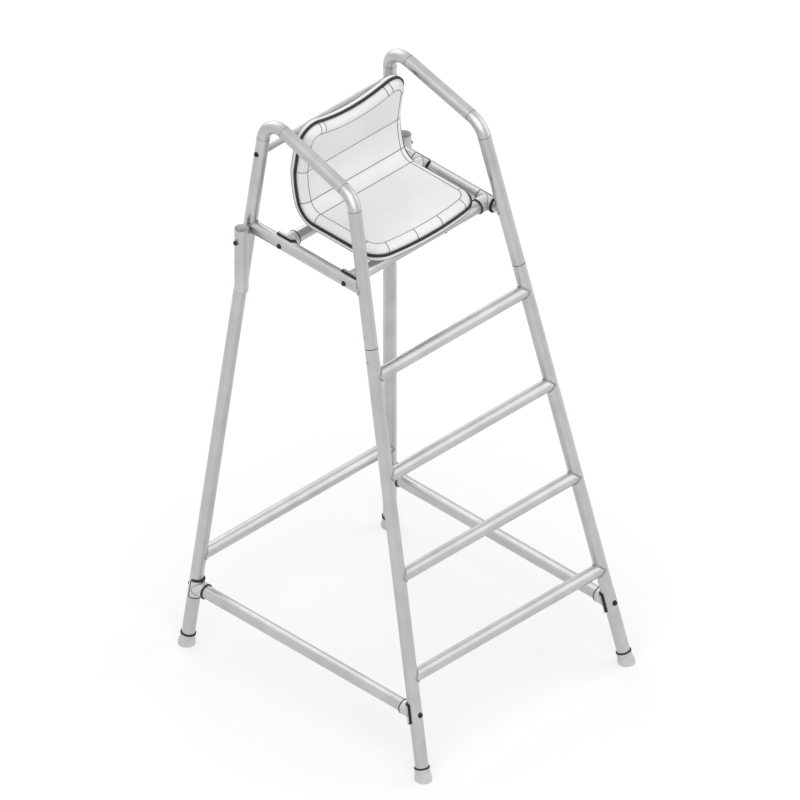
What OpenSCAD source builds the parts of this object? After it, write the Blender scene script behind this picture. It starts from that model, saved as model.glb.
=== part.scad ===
// Lifeguard chair: a bolted tube frame with a ladder front, a moulded seat and two umbrella sockets.
// Origin on the floor at the middle of the four feet. The ladder faces -Y. Left and right are as seen
// by someone who stands before the ladder, so left is -X.

/* [Stance] */
// Distance between the left and right leg axes, at the floor
stance_w = 834; // [780:1:880]
// Distance between the front and rear leg axes, at the floor
stance_d = 972; // [920:1:1010]
// Inward tilt of each side frame
side_tilt = 5; // [4:0.1:6]
// Backward lean of the ladder, within the side frame
front_lean = 14; // [13:0.1:15]
// Forward lean of the rear legs, within the side frame
rear_lean = 5; // [4:0.1:6]

/* [Frame tube] */
// Outer diameter of the frame tube
tube_d = 40; // [36:0.1:40.5]
// Wall of the frame tube
tube_wall = 2; // [1.6:0.1:3]
// How much thinner the rungs, rails and rear tie bar are than the tube that they are welded to
weld_step = 0.1; // [0.05:0.05:1]
// How much thinner the tube is drawn in its bends
bend_draw = 0.4; // [0.2:0.1:0.6]

/* [Ladder and ties] */
// Height of the first rung
first_rung_z = 308; // [295:1:315]
// Height of one step, rung to rung
step_pitch = 304.8; // [290:0.1:310]
// Height of the tie bars along both sides
side_tie_z = 203.2; // [150:0.1:250]
// Height of the tie bar between the rear legs
rear_tie_z = 311; // [260:1:400]

/* [Arm frames] */
// Height of the joint between a leg and its arm tube
seam_z = 1312; // [1290:1:1320]
// Height of the rails beside the seat
rail_z = 1487; // [1470:1:1500]
// Height of the arm's front corner
arm_z = 1769; // [1740:1:1800]
// Rise of the arm towards the back
arm_slope = 16; // [10:0.5:20]
// Bend radius at the front of the arm
front_bend_r = 73; // [60:1:90]
// Bend radius at the back of the arm
rear_bend_r = 63.5; // [55:0.5:80]

/* [Leg joints] */
// Length of the sleeve inside each leg joint
spigot_len = 160; // [120:1:200]
// Wall of that sleeve
spigot_wall = 2.6; // [2:0.1:4]
// Distance of the joint screws from the seam
joint_screw_gap = 40; // [30:1:50]
// Gap round a piece that slides into a tube
slip_gap = 0.1; // [0.05:0.05:0.3]

/* [Saddle fittings] */
// Distance from the crossed tube's axis to the end of the bar
saddle_reach = 47; // [42:0.5:52]
// Wall of the saddle round the crossed tube
saddle_wall = 6; // [4:0.1:7]
// Length of the saddle along the crossed tube
saddle_len = 62; // [50:1:80]
// Step of the collar's mouth over the bar
collar_step = 3.2; // [1:0.1:4]
// How far the collar's wide end stands in from the sides of the wrap
collar_inset = 0.6; // [0.3:0.1:2]
// Length of the plug inside the bar
plug_len = 45; // [40:1:60]
// Length of the threaded insert in the plug
insert_len = 20; // [12:1:24]
// Wall of the threaded insert
insert_wall = 2.2; // [1.5:0.1:3]

/* [Back bar] */
// Outer diameter of the bar behind the seat
back_bar_d = 22.2; // [18:0.1:28]
// Wall of that bar
back_bar_wall = 1.6; // [1.2:0.1:2.5]
// Height of that bar
back_bar_z = 1745; // [1720:1:1760]
// Length of the plugs in its ends
back_plug_len = 34; // [26:1:50]

/* [Seat bars] */
// Front seat bar, distance in front of the chair's middle
front_bar_y = -48; // [-60:1:-40]
// Rear seat bar, distance behind the chair's middle
rear_bar_y = 217; // [200:1:225]
// Distance between the two straps that carry the seat
strap_span = 220; // [160:1:250]
// Width of a strap
strap_w = 40; // [30:1:50]
// Thickness of a strap
strap_t = 6; // [4:0.5:7]
// Length of a strap past each seat bar's axis
strap_end = 25; // [20:1:30]

/* [Seat] */
// Height of the sitting surface
seat_z = 1565; // [1560:1:1580]
// Front edge of the flat of the seat
seat_front_y = -57; // [-70:1:-50]
// Length of the flat of the seat
seat_pan = 225; // [200:1:235]
// Width of the flat of the seat
seat_w = 368; // [330:1:390]
// Radius between seat and back
seat_bend_r = 42; // [36:1:50]
// Turn between seat and back
seat_bend_a = 70; // [66:1:74]
// Radius of the hollow of the back
waist_r = 330; // [280:1:400]
// Turn along the hollow of the back
waist_a = 17; // [12:1:20]
// Straight length of the upper back
back_len = 140; // [110:1:150]
// Crease between the lower bend and the hollow
low_crease_a = 3; // [0:0.5:5]
// Crease below the upper back
high_crease_a = 9; // [5:0.5:10]
// Radius of the front corners of the flat
front_corner_r = 32; // [20:1:45]
// Radius of the top corners of the flat
top_corner_r = 38; // [25:1:50]
// Forward bow of the front edge
front_bow = 18; // [5:1:25]
// Dip in the middle of the top edge
top_dip = 34; // [10:1:40]
// Radius of the rolled rim
rim_r = 25; // [18:1:28]
// Depth of the whole seat, from sitting surface to underside
seat_depth = 43; // [42:0.5:46]
// Wall of both seat shells
shell_t = 4; // [3:0.5:5]
// Width of the flange where the shells meet
flange_w = 6; // [4:0.5:8]
// Thickness of each shell's flange
flange_t = 2.5; // [2:0.5:4]
// Thickness of the edge trim over the flanges
trim_t = 2.5; // [1.5:0.5:3.5]
// Gap between the edge trim's lip and the rolled rim
trim_gap = 1.5; // [1:0.5:2.5]
// Radius of the seat's lower edge
under_edge_r = 8; // [4:0.5:9]
// Front seat screws, distance behind the chair's middle
seat_screw_front_y = 0; // [-10:1:20]
// Rear seat screws, distance behind the chair's middle
seat_screw_rear_y = 125; // [100:1:140]
// Radius of the spacers under the seat
spacer_r = 14; // [10:0.5:16]
// Wall of the threaded inserts in the seat's underside
seat_insert_wall = 2; // [1.5:0.5:3]
// Width of those inserts' flange
seat_insert_flange = 4; // [3:0.5:6]
// Thickness of that flange
seat_flange_h = 2; // [1:0.5:3]

/* [Umbrella sockets] */
// Outer diameter of the socket
socket_d = 42.2; // [41.2:0.1:43]
// Bore of the socket
socket_bore = 38.9; // [38.3:0.1:39.1]
// Height of the socket's lower end
socket_z = 1284; // [1270:1:1300]
// Length of the socket
socket_len = 218; // [200:1:240]
// Gap between the socket's foot and the leg, filled by weld
socket_gap = 0.5; // [0.2:0.1:2]
// Thickness of the floor plate that closes the socket's lower end
socket_floor_t = 3; // [2:0.5:5]
// How far the floor plate stands in from the socket's outside, for its weld
floor_inset = 0.8; // [0.5:0.1:1.5]
// Radius of the drain hole in the floor plate
drain_r = 5; // [3:0.5:8]
// Height of the web plate that ties the socket's top to the leg
web_h = 30; // [20:1:36]
// Thickness of the web plate
web_t = 5; // [4:0.5:8]
// Gap between the web plate's top and the seat rail above it
web_gap = 4; // [3:1:12]

/* [Clamp screws] */
// Distance from the clamp screw to the socket's mouth
clamp_drop = 40; // [34:1:60]
// Radius of the welded boss
boss_r = 8; // [7:0.5:10]
// Height of the boss above the socket
boss_h = 2; // [1.5:0.5:5]
// Travel of the clamp screw
clamp_travel = 2; // [1.5:0.5:4]
// Distance of the pad from the bore when it is open
pad_back = 0.3; // [0.2:0.1:0.5]
// Radius of the pad
pad_r = 3.6; // [3:0.1:3.7]
// Thickness of the pad
pad_t = 2.2; // [1.5:0.1:3]
// Radius of the pad's stem
pad_stem_r = 1.8; // [1.5:0.1:2.2]
// Length of the pad's stem
pad_stem_len = 4; // [3:0.5:6]
// Running gap round the screw and round the stem
thread_gap = 0.05; // [0.02:0.01:0.09]

/* [Fasteners] */
// Radius of the tie bolts
bolt_r = 4; // [3:0.5:4.5]
// Gap round a bolt in a plain hole
hole_gap = 0.25; // [0.1:0.05:0.5]
// Radius of a bolt head
head_r = 7; // [6:0.5:8]
// Height of a bolt head
head_h = 4.5; // [3:0.5:6]
// Radius of the joint and seat screws
screw_r = 3; // [2.5:0.5:3.5]
// Radius of a small screw head
screw_head_r = 5.2; // [4.5:0.1:6]
// Height of a small screw head
screw_head_h = 3; // [2:0.5:4]
// Across flats of the clamp screws' heads
hex_af = 13; // [11:1:14]
// Height of the clamp screws' heads
hex_h = 3.5; // [3:0.5:5]

/* [Feet] */
// Height of a foot along the leg
foot_h = 40; // [34:1:50]
// Radius of the foot's upper rim
foot_top_r = 22.4; // [21.5:0.1:24]
// Radius of the foot's sole
foot_sole_r = 25.2; // [24:0.1:28]
// Rubber under the end of the leg
foot_sole = 12; // [9:0.5:16]
// Widening of the foot's neck from its band down to its shoulder
foot_taper = 0.5; // [0:0.1:1]
// Height of the band round the foot's mouth
foot_band_h = 3; // [2:0.5:5]
// Step of that band over the neck
foot_band_step = 0.8; // [0.4:0.1:1.2]

/* [Hidden] */
$fn = 48;

STEEL = "#c9ccd0";
MILLED = "#b4b8bd";
CASTING = "#d3d5d6";
FASTENER = "#232527";
DARK = "#2c2e30";
RUBBER = "#b9bab8";
SHELL = "#f4f4f1";
NYLON = "#d9d6cc";
BRASS = "#b59a5a";

tube_r = tube_d / 2;
tube_bore_r = tube_r - tube_wall;
slip_r = tube_bore_r - slip_gap;
bar_r = tube_r - weld_step / 2;
socket_r = socket_d / 2;
back_bar_r = back_bar_d / 2;
hole_r = bolt_r + hole_gap;
screw_hole_r = screw_r + hole_gap;
insert_r = bolt_r + insert_wall;
cut = 1;
// The seam line of each tube is turned away from the tubes that meet it
seam_turn = 45;

// Places on the frame
function side_x(z) = stance_w / 2 - z * tan(side_tilt);
function in_plane(z) = z / cos(side_tilt);
function front_y(z) = -stance_d / 2 + in_plane(z) * tan(front_lean);
function rear_y(z) = stance_d / 2 - in_plane(z) * tan(rear_lean);
function along_front(z) = in_plane(z) / cos(front_lean);
function along_rear(z) = in_plane(z) / cos(rear_lean);

// The side frame lies flat here: X is the chair's Y, Y runs up the side frame, Z points inwards.
module in_side(right) {
  mirror([right ? 1 : 0, 0, 0])
    translate([-stance_w / 2, 0, 0])
      rotate([0, side_tilt, 0])
        rotate([90, 0, 90])
          children();
}

// Z runs up the leg's axis from the floor, Y points outwards
module on_front_axis() {
  translate([-stance_d / 2, 0, 0]) rotate([0, 0, -front_lean]) rotate([-90, 0, 0]) children();
}

module on_rear_axis() {
  translate([stance_d / 2, 0, 0]) rotate([0, 0, rear_lean]) rotate([-90, 0, 0]) children();
}

module front_leg_core(right) {
  in_side(right) on_front_axis() rotate([0, 0, seam_turn]) cylinder(r = tube_r, h = along_front(arm_z));
}

module rear_leg_core(right) {
  in_side(right) on_rear_axis() rotate([0, 0, seam_turn])
    cylinder(r = tube_r, h = along_rear(arm_z) + front_bend_r);
}

module pipe(r, wall, len) {
  rotate([0, 0, seam_turn]) difference() {
    cylinder(r = r, h = len);
    translate([0, 0, -cut]) cylinder(r = r - wall, h = len + 2 * cut);
  }
}

// Arm tubes
arm_front = [front_y(arm_z), in_plane(arm_z)];
arm_run = (stance_d / 2 - arm_front[1] * tan(rear_lean) - arm_front[0])
  / (cos(arm_slope) + sin(arm_slope) * tan(rear_lean));
arm_rear = arm_front + arm_run * [cos(arm_slope), sin(arm_slope)];
front_turn = 90 - front_lean - arm_slope;
rear_turn = 90 - rear_lean + arm_slope;
front_cut_back = front_bend_r * tan(front_turn / 2);
rear_cut_back = rear_bend_r * tan(rear_turn / 2);
arm_rear_along = arm_rear[1] / cos(rear_lean);
bend_lap = 1;

// One bend of a rod: it leaves the direction from_a and turns clockwise round the corner
module rod_bend(corner, from_a, turn, bend_r, r) {
  cut_back = bend_r * tan(turn / 2);
  start = corner - cut_back * [cos(from_a), sin(from_a)];
  centre = start + bend_r * [sin(from_a), -cos(from_a)];
  translate([centre[0], centre[1], 0])
    rotate([0, 0, 90 + from_a - turn])
      rotate_extrude(angle = turn)
        translate([bend_r, 0]) circle(r = r - bend_draw / 2);
}

// The arm tube's path as a solid rod. The straight stretches reach a little way into the bends.
module arm_rod(r, past) {
  on_front_axis() translate([0, 0, along_front(seam_z) - past])
    cylinder(r = r, h = along_front(arm_z) - front_cut_back - along_front(seam_z) + past + bend_lap);
  rod_bend(arm_front, 90 - front_lean, front_turn, front_bend_r, r);
  translate([arm_front[0], arm_front[1], 0])
    rotate([0, 0, arm_slope]) translate([front_cut_back - bend_lap, 0, 0]) rotate([0, 90, 0])
      cylinder(r = r, h = arm_run - front_cut_back - rear_cut_back + 2 * bend_lap);
  rod_bend(arm_rear, arm_slope, rear_turn, rear_bend_r, r);
  on_rear_axis() translate([0, 0, along_rear(seam_z) - past])
    cylinder(r = r, h = arm_rear_along - rear_cut_back - along_rear(seam_z) + past + bend_lap);
}

module arm_tube(right) {
  color(STEEL)
    difference() {
      in_side(right) arm_rod(tube_r, 0);
      in_side(right) arm_rod(tube_bore_r, cut);
      joint_holes(right, 1);
      back_bolt_place(right) cross_hole();
    }
}

// A plain hole for a tie bolt, through both walls of a tube
module cross_hole() {
  rotate([0, 90, 0]) translate([0, 0, -2 * tube_r]) cylinder(r = hole_r, h = 4 * tube_r);
}

// Legs
module front_leg(right) {
  color(STEEL)
    difference() {
      in_side(right) on_front_axis() translate([0, 0, foot_sole])
        pipe(tube_r, tube_wall, along_front(seam_z) - foot_sole);
      joint_holes(right, -1);
      front_tie_place(right) cross_hole();
    }
}

module rear_leg(right) {
  color(STEEL)
    difference() {
      in_side(right) on_rear_axis() translate([0, 0, foot_sole])
        pipe(tube_r, tube_wall, along_rear(seam_z) - foot_sole);
      joint_holes(right, -1);
      rear_tie_place(right) cross_hole();
    }
}

// Leg joints
module front_joint_place(right) {
  in_side(right) on_front_axis() translate([0, 0, along_front(seam_z)]) children();
}

module rear_joint_place(right) {
  in_side(right) on_rear_axis() translate([0, 0, along_rear(seam_z)]) children();
}

module joint_drill(way, r) {
  translate([0, 0, way * joint_screw_gap]) rotate([-90, 0, 0]) cylinder(r = r, h = 2 * tube_r);
}

module joint_holes(right, way) {
  front_joint_place(right) joint_drill(way, screw_hole_r);
  rear_joint_place(right) joint_drill(way, screw_hole_r);
}

module joint_sleeve() {
  difference() {
    translate([0, 0, -spigot_len / 2]) pipe(slip_r, spigot_wall, spigot_len);
    joint_drill(1, screw_r);
    joint_drill(-1, screw_r);
  }
}

module front_joint_sleeve(right) {
  color(MILLED) front_joint_place(right) joint_sleeve();
}

module rear_joint_sleeve(right) {
  color(MILLED) rear_joint_place(right) joint_sleeve();
}

// A low domed head that stands on Z = 0
module domed_head(r, h) {
  rotate_extrude()
    polygon([[0, -r / 2], [r, -r / 2], [r, h * 0.45], [r * 0.86, h * 0.8], [r * 0.5, h], [0, h]]);
}

module joint_screw(way) {
  translate([0, 0, way * joint_screw_gap]) rotate([-90, 0, 0]) {
    difference() {
      translate([0, 0, tube_r]) domed_head(screw_head_r, screw_head_h);
      rotate([90, 0, 0]) cylinder(r = tube_r, h = 4 * tube_r, center = true);
    }
    translate([0, 0, tube_r - tube_wall - spigot_wall - slip_gap])
      cylinder(r = screw_r, h = tube_wall + spigot_wall + slip_gap + screw_head_h / 2);
  }
}

module joint_screws() {
  color(MILLED)
    for (right = [false, true], way = [-1, 1]) {
      front_joint_place(right) joint_screw(way);
      rear_joint_place(right) joint_screw(way);
    }
}

// Rungs and the rear tie bar, cut to fit the legs that they are welded to
module cross_tube(y, z) {
  translate([-side_x(z), y, z]) rotate([0, 90, 0]) pipe(bar_r, tube_wall, 2 * side_x(z));
}

module rung(count) {
  z = first_rung_z + (count - 1) * step_pitch;
  color(STEEL)
    difference() {
      cross_tube(front_y(z), z);
      front_leg_core(false);
      front_leg_core(true);
    }
}

module rear_tie_bar() {
  color(STEEL)
    difference() {
      cross_tube(rear_y(rear_tie_z), rear_tie_z);
      rear_leg_core(false);
      rear_leg_core(true);
    }
}

// Rails beside the seat, welded to the arm tubes
module seat_rail(right) {
  color(STEEL)
    difference() {
      in_side(right) translate([front_y(rail_z), in_plane(rail_z), 0]) rotate([0, 90, 0])
        pipe(bar_r, tube_wall, rear_y(rail_z) - front_y(rail_z));
      front_leg_core(right);
      rear_leg_core(right);
      for (y = [front_bar_y, rear_bar_y]) seat_bar_place(right, y) cross_hole();
    }
}

// Saddle fittings: X runs into the bar, the crossed tube of radius r leans from Z towards X
module crossed_tube(lean, r) {
  rotate([0, lean, 0]) cylinder(r = r, h = 2 * saddle_len, center = true);
}

module saddle(lean, r) {
  wrap_r = r + saddle_wall;
  difference() {
    union() {
      rotate([0, lean, 0]) intersection() {
        cylinder(r = wrap_r, h = saddle_len, center = true);
        translate([0, -wrap_r, -saddle_len / 2]) cube([wrap_r, 2 * wrap_r, saddle_len]);
      }
      rotate([0, 90, 0])
        cylinder(r1 = wrap_r - collar_inset, r2 = tube_r + collar_step, h = saddle_reach);
      rotate([0, 90, 0]) cylinder(r = slip_r, h = saddle_reach + plug_len);
    }
    crossed_tube(lean, r);
    rotate([0, 90, 0]) cylinder(r = hole_r, h = saddle_reach + plug_len + cut);
    translate([saddle_reach + plug_len - insert_len, 0, 0])
      rotate([0, 90, 0]) cylinder(r = insert_r, h = insert_len + cut);
  }
}

module saddle_insert() {
  translate([saddle_reach + plug_len - insert_len, 0, 0]) rotate([0, 90, 0])
    pipe(insert_r, insert_wall, insert_len);
}

module tie_bolt(lean, r) {
  difference() {
    translate([-r, 0, 0]) rotate([0, -90, 0]) domed_head(head_r, head_h);
    crossed_tube(lean, r);
  }
  translate([-r - head_h / 2, 0, 0]) rotate([0, 90, 0])
    cylinder(r = bolt_r, h = r + head_h / 2 + saddle_reach + plug_len);
}

// Side tie bars
module front_tie_place(right) {
  in_side(right) translate([front_y(side_tie_z), in_plane(side_tie_z), 0]) rotate([-90, 0, 0]) children();
}

module rear_tie_place(right) {
  in_side(right) translate([rear_y(side_tie_z), in_plane(side_tie_z), 0])
    rotate([0, 180, 0]) rotate([-90, 0, 0]) children();
}

module side_tie_bar(right) {
  color(STEEL) front_tie_place(right) translate([saddle_reach, 0, 0]) rotate([0, 90, 0])
    pipe(tube_r, tube_wall, rear_y(side_tie_z) - front_y(side_tie_z) - 2 * saddle_reach);
}

module front_tie_saddle(right) {
  color(CASTING) front_tie_place(right) saddle(front_lean, tube_r);
}

module rear_tie_saddle(right) {
  color(CASTING) rear_tie_place(right) saddle(rear_lean, tube_r);
}

module tie_bolts() {
  color(FASTENER)
    for (right = [false, true]) {
      front_tie_place(right) tie_bolt(front_lean, tube_r);
      rear_tie_place(right) tie_bolt(rear_lean, tube_r);
    }
}

// Seat bars
module seat_bar_place(right, y) {
  mirror([right ? 1 : 0, 0, 0]) translate([-side_x(rail_z), y, rail_z]) rotate([-90, 0, 0]) children();
}

module seat_bar(y) {
  color(STEEL)
    difference() {
      seat_bar_place(false, y) translate([saddle_reach, 0, 0]) rotate([0, 90, 0])
        pipe(tube_r, tube_wall, 2 * (side_x(rail_z) - saddle_reach));
      for (side = [-1, 1])
        translate([side * strap_span / 2, y, rail_z - 2 * tube_r]) cylinder(r = hole_r, h = 4 * tube_r);
    }
}

module seat_saddle(right, y) {
  color(CASTING) seat_bar_place(right, y) saddle(0, bar_r);
}

module seat_bar_bolts() {
  color(FASTENER)
    for (right = [false, true], y = [front_bar_y, rear_bar_y]) seat_bar_place(right, y) tie_bolt(0, bar_r);
}

module saddle_inserts() {
  color(BRASS)
    for (right = [false, true]) {
      front_tie_place(right) saddle_insert();
      rear_tie_place(right) saddle_insert();
      seat_bar_place(right, front_bar_y) saddle_insert();
      seat_bar_place(right, rear_bar_y) saddle_insert();
    }
}

// Back bar, cut to fit the posts
module back_bolt_place(right) {
  mirror([right ? 1 : 0, 0, 0]) translate([-side_x(back_bar_z), rear_y(back_bar_z), back_bar_z]) children();
}

module back_bar() {
  color(STEEL)
    difference() {
      back_bolt_place(false) rotate([0, 90, 0])
        pipe(back_bar_r, back_bar_wall, 2 * side_x(back_bar_z));
      rear_leg_core(false);
      rear_leg_core(true);
    }
}

module back_bar_plugs() {
  color(DARK)
    for (right = [false, true])
      difference() {
        back_bolt_place(right) rotate([0, 90, 0])
          pipe(back_bar_r - back_bar_wall, back_bar_r - back_bar_wall - bolt_r, tube_r + back_plug_len);
        rear_leg_core(right);
      }
}

module back_bar_bolts() {
  color(FASTENER)
    for (right = [false, true]) {
      difference() {
        back_bolt_place(right) translate([-tube_r, 0, 0]) rotate([0, -90, 0]) domed_head(head_r, head_h);
        rear_leg_core(right);
      }
      back_bolt_place(right) translate([-tube_r - head_h / 2, 0, 0]) rotate([0, 90, 0])
        cylinder(r = bolt_r, h = 2 * tube_r + head_h / 2 + back_plug_len);
    }
}

// Feet
module foot_on_axis() {
  band_z = foot_h - foot_band_h;
  difference() {
    rotate_extrude()
      polygon([
        [0, -foot_sole], [foot_sole_r, -foot_sole], [foot_sole_r, foot_sole * 0.8],
        [foot_top_r + foot_taper, foot_sole * 1.6], [foot_top_r, band_z - foot_band_step],
        [foot_top_r + foot_band_step, band_z], [foot_top_r + foot_band_step, foot_h], [0, foot_h]
      ]);
    translate([0, 0, foot_sole]) cylinder(r = tube_r, h = foot_h);
  }
}

module floor_cut() {
  difference() {
    children();
    translate([-stance_w, -stance_d, -4 * foot_sole]) cube([2 * stance_w, 2 * stance_d, 4 * foot_sole]);
  }
}

module front_foot(right) {
  color(RUBBER) floor_cut() in_side(right) on_front_axis() foot_on_axis();
}

module rear_foot(right) {
  color(RUBBER) floor_cut() in_side(right) on_rear_axis() foot_on_axis();
}

// Seat profile: distance along the sitting surface from its front edge gives [y, z, slope]
seat_arc_1 = seat_bend_r * seat_bend_a * PI / 180;
seat_arc_2 = waist_r * waist_a * PI / 180;
seat_s1 = seat_pan;
seat_s2 = seat_s1 + seat_arc_1;
seat_s3 = seat_s2 + seat_arc_2;
seat_s4 = seat_s3 + back_len;
// A point this close to a crease lies on it, and has the slope halfway between its two sides
crease_snap = 0.01;
waist_start_a = seat_bend_a + low_crease_a;
back_a = waist_start_a + waist_a + high_crease_a;

function arc_point(from, r, turn) = [
  from[0] + r * (sin(from[2] + turn) - sin(from[2])),
  from[1] + r * (cos(from[2]) - cos(from[2] + turn)),
  from[2] + turn
];
seat_p1 = [seat_front_y + seat_pan, seat_z, 0];
seat_p2 = arc_point(seat_p1, seat_bend_r, seat_bend_a);
seat_p3 = arc_point([seat_p2[0], seat_p2[1], waist_start_a], waist_r, waist_a);

function seat_at(s) =
  s < seat_s1 ? [seat_front_y + s, seat_z, 0]
  : s < seat_s2 - crease_snap ? arc_point(seat_p1, seat_bend_r, seat_bend_a * (s - seat_s1) / seat_arc_1)
  : s < seat_s2 + crease_snap ? [seat_p2[0], seat_p2[1], seat_bend_a + low_crease_a / 2]
  : s < seat_s3 - crease_snap
    ? arc_point([seat_p2[0], seat_p2[1], waist_start_a], waist_r, waist_a * (s - seat_s2) / seat_arc_2)
  : s < seat_s3 + crease_snap ? [seat_p3[0], seat_p3[1], back_a - high_crease_a / 2]
  : [seat_p3[0] + (s - seat_s3) * cos(back_a), seat_p3[1] + (s - seat_s3) * sin(back_a), back_a];

// Rows of the seat's grid run from the front edge to the top edge
corner_steps = 4;
bend_steps = 6;
waist_steps = 3;
seat_cols = 8;
row_s = concat(
  [for (i = [0 : corner_steps]) front_corner_r * (1 - cos(90 * i / corner_steps))],
  [seat_pan / 2],
  [for (i = [0 : bend_steps]) seat_s1 + seat_arc_1 * i / bend_steps],
  [for (i = [1 : waist_steps]) seat_s2 + seat_arc_2 * i / waist_steps],
  [for (i = [0 : corner_steps]) seat_s4 - top_corner_r * (1 - sin(90 * i / corner_steps))]
);
seat_rows = len(row_s) - 1;
fade_len = seat_s4 - seat_s3 - cut;

function corner_inset(s) =
  s < front_corner_r ? front_corner_r * (1 - sqrt(max(0, 1 - pow(1 - s / front_corner_r, 2))))
  : seat_s4 - s < top_corner_r
    ? top_corner_r * (1 - sqrt(max(0, 1 - pow(1 - (seat_s4 - s) / top_corner_r, 2))))
  : 0;

// Across the seat and along its surface, for one grid point
function flat_point(row, col) =
  let (
    s = row_s[row],
    x = (seat_w / 2 - corner_inset(s)) * (2 * col / seat_cols - 1),
    crown = 1 - pow(2 * x / seat_w, 2),
    bow = front_bow * max(0, 1 - s / fade_len),
    dip = top_dip * max(0, 1 - (seat_s4 - s) / fade_len)
  )
  [x, s - crown * (bow + dip)];

// The same grid point in space, at a depth below the sitting surface
function grid_point(row, col, depth) =
  let (f = flat_point(row, col), p = seat_at(f[1]))
  [f[0], p[0] + depth * sin(p[2]), p[1] - depth * cos(p[2])];

loop_len = 2 * (seat_cols + seat_rows);
function loop_row(i) =
  i < seat_cols ? 0
  : i < seat_cols + seat_rows ? i - seat_cols
  : i < 2 * seat_cols + seat_rows ? seat_rows
  : loop_len - i;
function loop_col(i) =
  i < seat_cols ? i
  : i < seat_cols + seat_rows ? seat_cols
  : i < 2 * seat_cols + seat_rows ? 2 * seat_cols + seat_rows - i
  : 0;
function loop_flat(i) = flat_point(loop_row(i % loop_len), loop_col(i % loop_len));

// A point beside the edge loop: out from the edge and down from the sitting surface
function rim_point(i, out, depth) =
  let (
    f = loop_flat(i),
    along = loop_flat(i + 1) - loop_flat(i + loop_len - 1),
    way = [along[1], -along[0]] / norm(along),
    p = seat_at(f[1]),
    t = [cos(p[2]), sin(p[2])],
    n = [-sin(p[2]), cos(p[2])]
  )
  [
    f[0] + out * way[0],
    p[0] + out * way[1] * t[0] - depth * n[0],
    p[1] + out * way[1] * t[1] - depth * n[1]
  ];

function quad(a, b, c, d) = [[a, b, c], [a, c, d]];
function flatten(list) = [for (part = list, item = part) item];

// A closed shell: two grids at their own depths, joined round the edge by the rim's cross-section
module rimmed_shell(depth_a, depth_b, section) {
  per_grid = (seat_rows + 1) * (seat_cols + 1);
  rings = len(section);
  points = concat(
    [for (r = [0 : seat_rows], c = [0 : seat_cols]) grid_point(r, c, depth_a)],
    [for (r = [0 : seat_rows], c = [0 : seat_cols]) grid_point(r, c, depth_b)],
    [for (k = [0 : rings - 1], i = [0 : loop_len - 1]) rim_point(i, section[k][0], section[k][1])]
  );
  function at_grid(g, r, c) = g * per_grid + r * (seat_cols + 1) + c;
  function at_ring(k, i) =
    let (j = i % loop_len)
    k < 0 ? at_grid(0, loop_row(j), loop_col(j))
    : k >= rings ? at_grid(1, loop_row(j), loop_col(j))
    : 2 * per_grid + k * loop_len + j;
  top_faces = flatten([for (r = [0 : seat_rows - 1], c = [0 : seat_cols - 1])
    quad(at_grid(0, r, c), at_grid(0, r + 1, c), at_grid(0, r + 1, c + 1), at_grid(0, r, c + 1))]);
  under_faces = flatten([for (r = [0 : seat_rows - 1], c = [0 : seat_cols - 1])
    quad(at_grid(1, r, c), at_grid(1, r, c + 1), at_grid(1, r + 1, c + 1), at_grid(1, r + 1, c))]);
  rim_faces = flatten([for (k = [-1 : rings - 1], i = [0 : loop_len - 1])
    quad(at_ring(k, i), at_ring(k, i + 1), at_ring(k + 1, i + 1), at_ring(k + 1, i))]);
  polyhedron(points = points, faces = concat(top_faces, under_faces, rim_faces), convexity = 6);
}

rim_steps = 4;
part_line = rim_r + flange_t;
inner_rim_r = rim_r - shell_t;
under_depth = seat_depth - shell_t;
least_edge_r = 1;

module seat_top_shell() {
  section = concat(
    [for (i = [1 : rim_steps]) rim_r * [sin(90 * i / rim_steps), 1 - cos(90 * i / rim_steps)]],
    [[rim_r + flange_w, rim_r], [rim_r + flange_w, part_line], [inner_rim_r, part_line]],
    [for (i = [rim_steps : -1 : 1])
      [inner_rim_r * sin(90 * i / rim_steps), rim_r - inner_rim_r * cos(90 * i / rim_steps)]]
  );
  color(SHELL) rimmed_shell(0, shell_t, section);
}

module seat_base_shell() {
  inner_edge_r = max(under_edge_r - shell_t, least_edge_r);
  outer = concat(
    [[rim_r + flange_w, part_line], [rim_r + flange_w, part_line + flange_t], [rim_r, part_line + flange_t]],
    [for (a = [0 : 30 : 90])
      [rim_r - under_edge_r * (1 - cos(a)), seat_depth - under_edge_r * (1 - sin(a))]]
  );
  inner = concat(
    [[inner_rim_r, part_line]],
    [for (a = [0 : 45 : 90])
      [inner_rim_r - inner_edge_r * (1 - cos(a)), under_depth - inner_edge_r * (1 - sin(a))]]
  );
  section = concat([for (i = [len(inner) - 1 : -1 : 0]) inner[i]], outer);
  color(SHELL)
    difference() {
      rimmed_shell(under_depth, seat_depth, section);
      seat_screw_places() translate([0, 0, -cut]) cylinder(r = seat_insert_r, h = shell_t + 2 * cut);
    }
}

module seat_edge_trim() {
  lip = rim_r + trim_gap;
  outside = rim_r + flange_w;
  low = part_line + flange_t;
  section = [
    [lip, rim_r - trim_t], [outside + trim_t, rim_r - trim_t], [outside + trim_t, low + trim_t],
    [lip, low + trim_t], [lip, low], [outside, low], [outside, rim_r], [lip, rim_r]
  ];
  count = len(section);
  points = [for (k = [0 : count - 1], i = [0 : loop_len - 1]) rim_point(i, section[k][0], section[k][1])];
  function at(k, i) = (k % count) * loop_len + i % loop_len;
  faces = flatten([for (k = [0 : count - 1], i = [0 : loop_len - 1])
    quad(at(k, i), at(k, i + 1), at(k + 1, i + 1), at(k + 1, i))]);
  color(DARK) polyhedron(points = points, faces = faces, convexity = 6);
}

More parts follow.
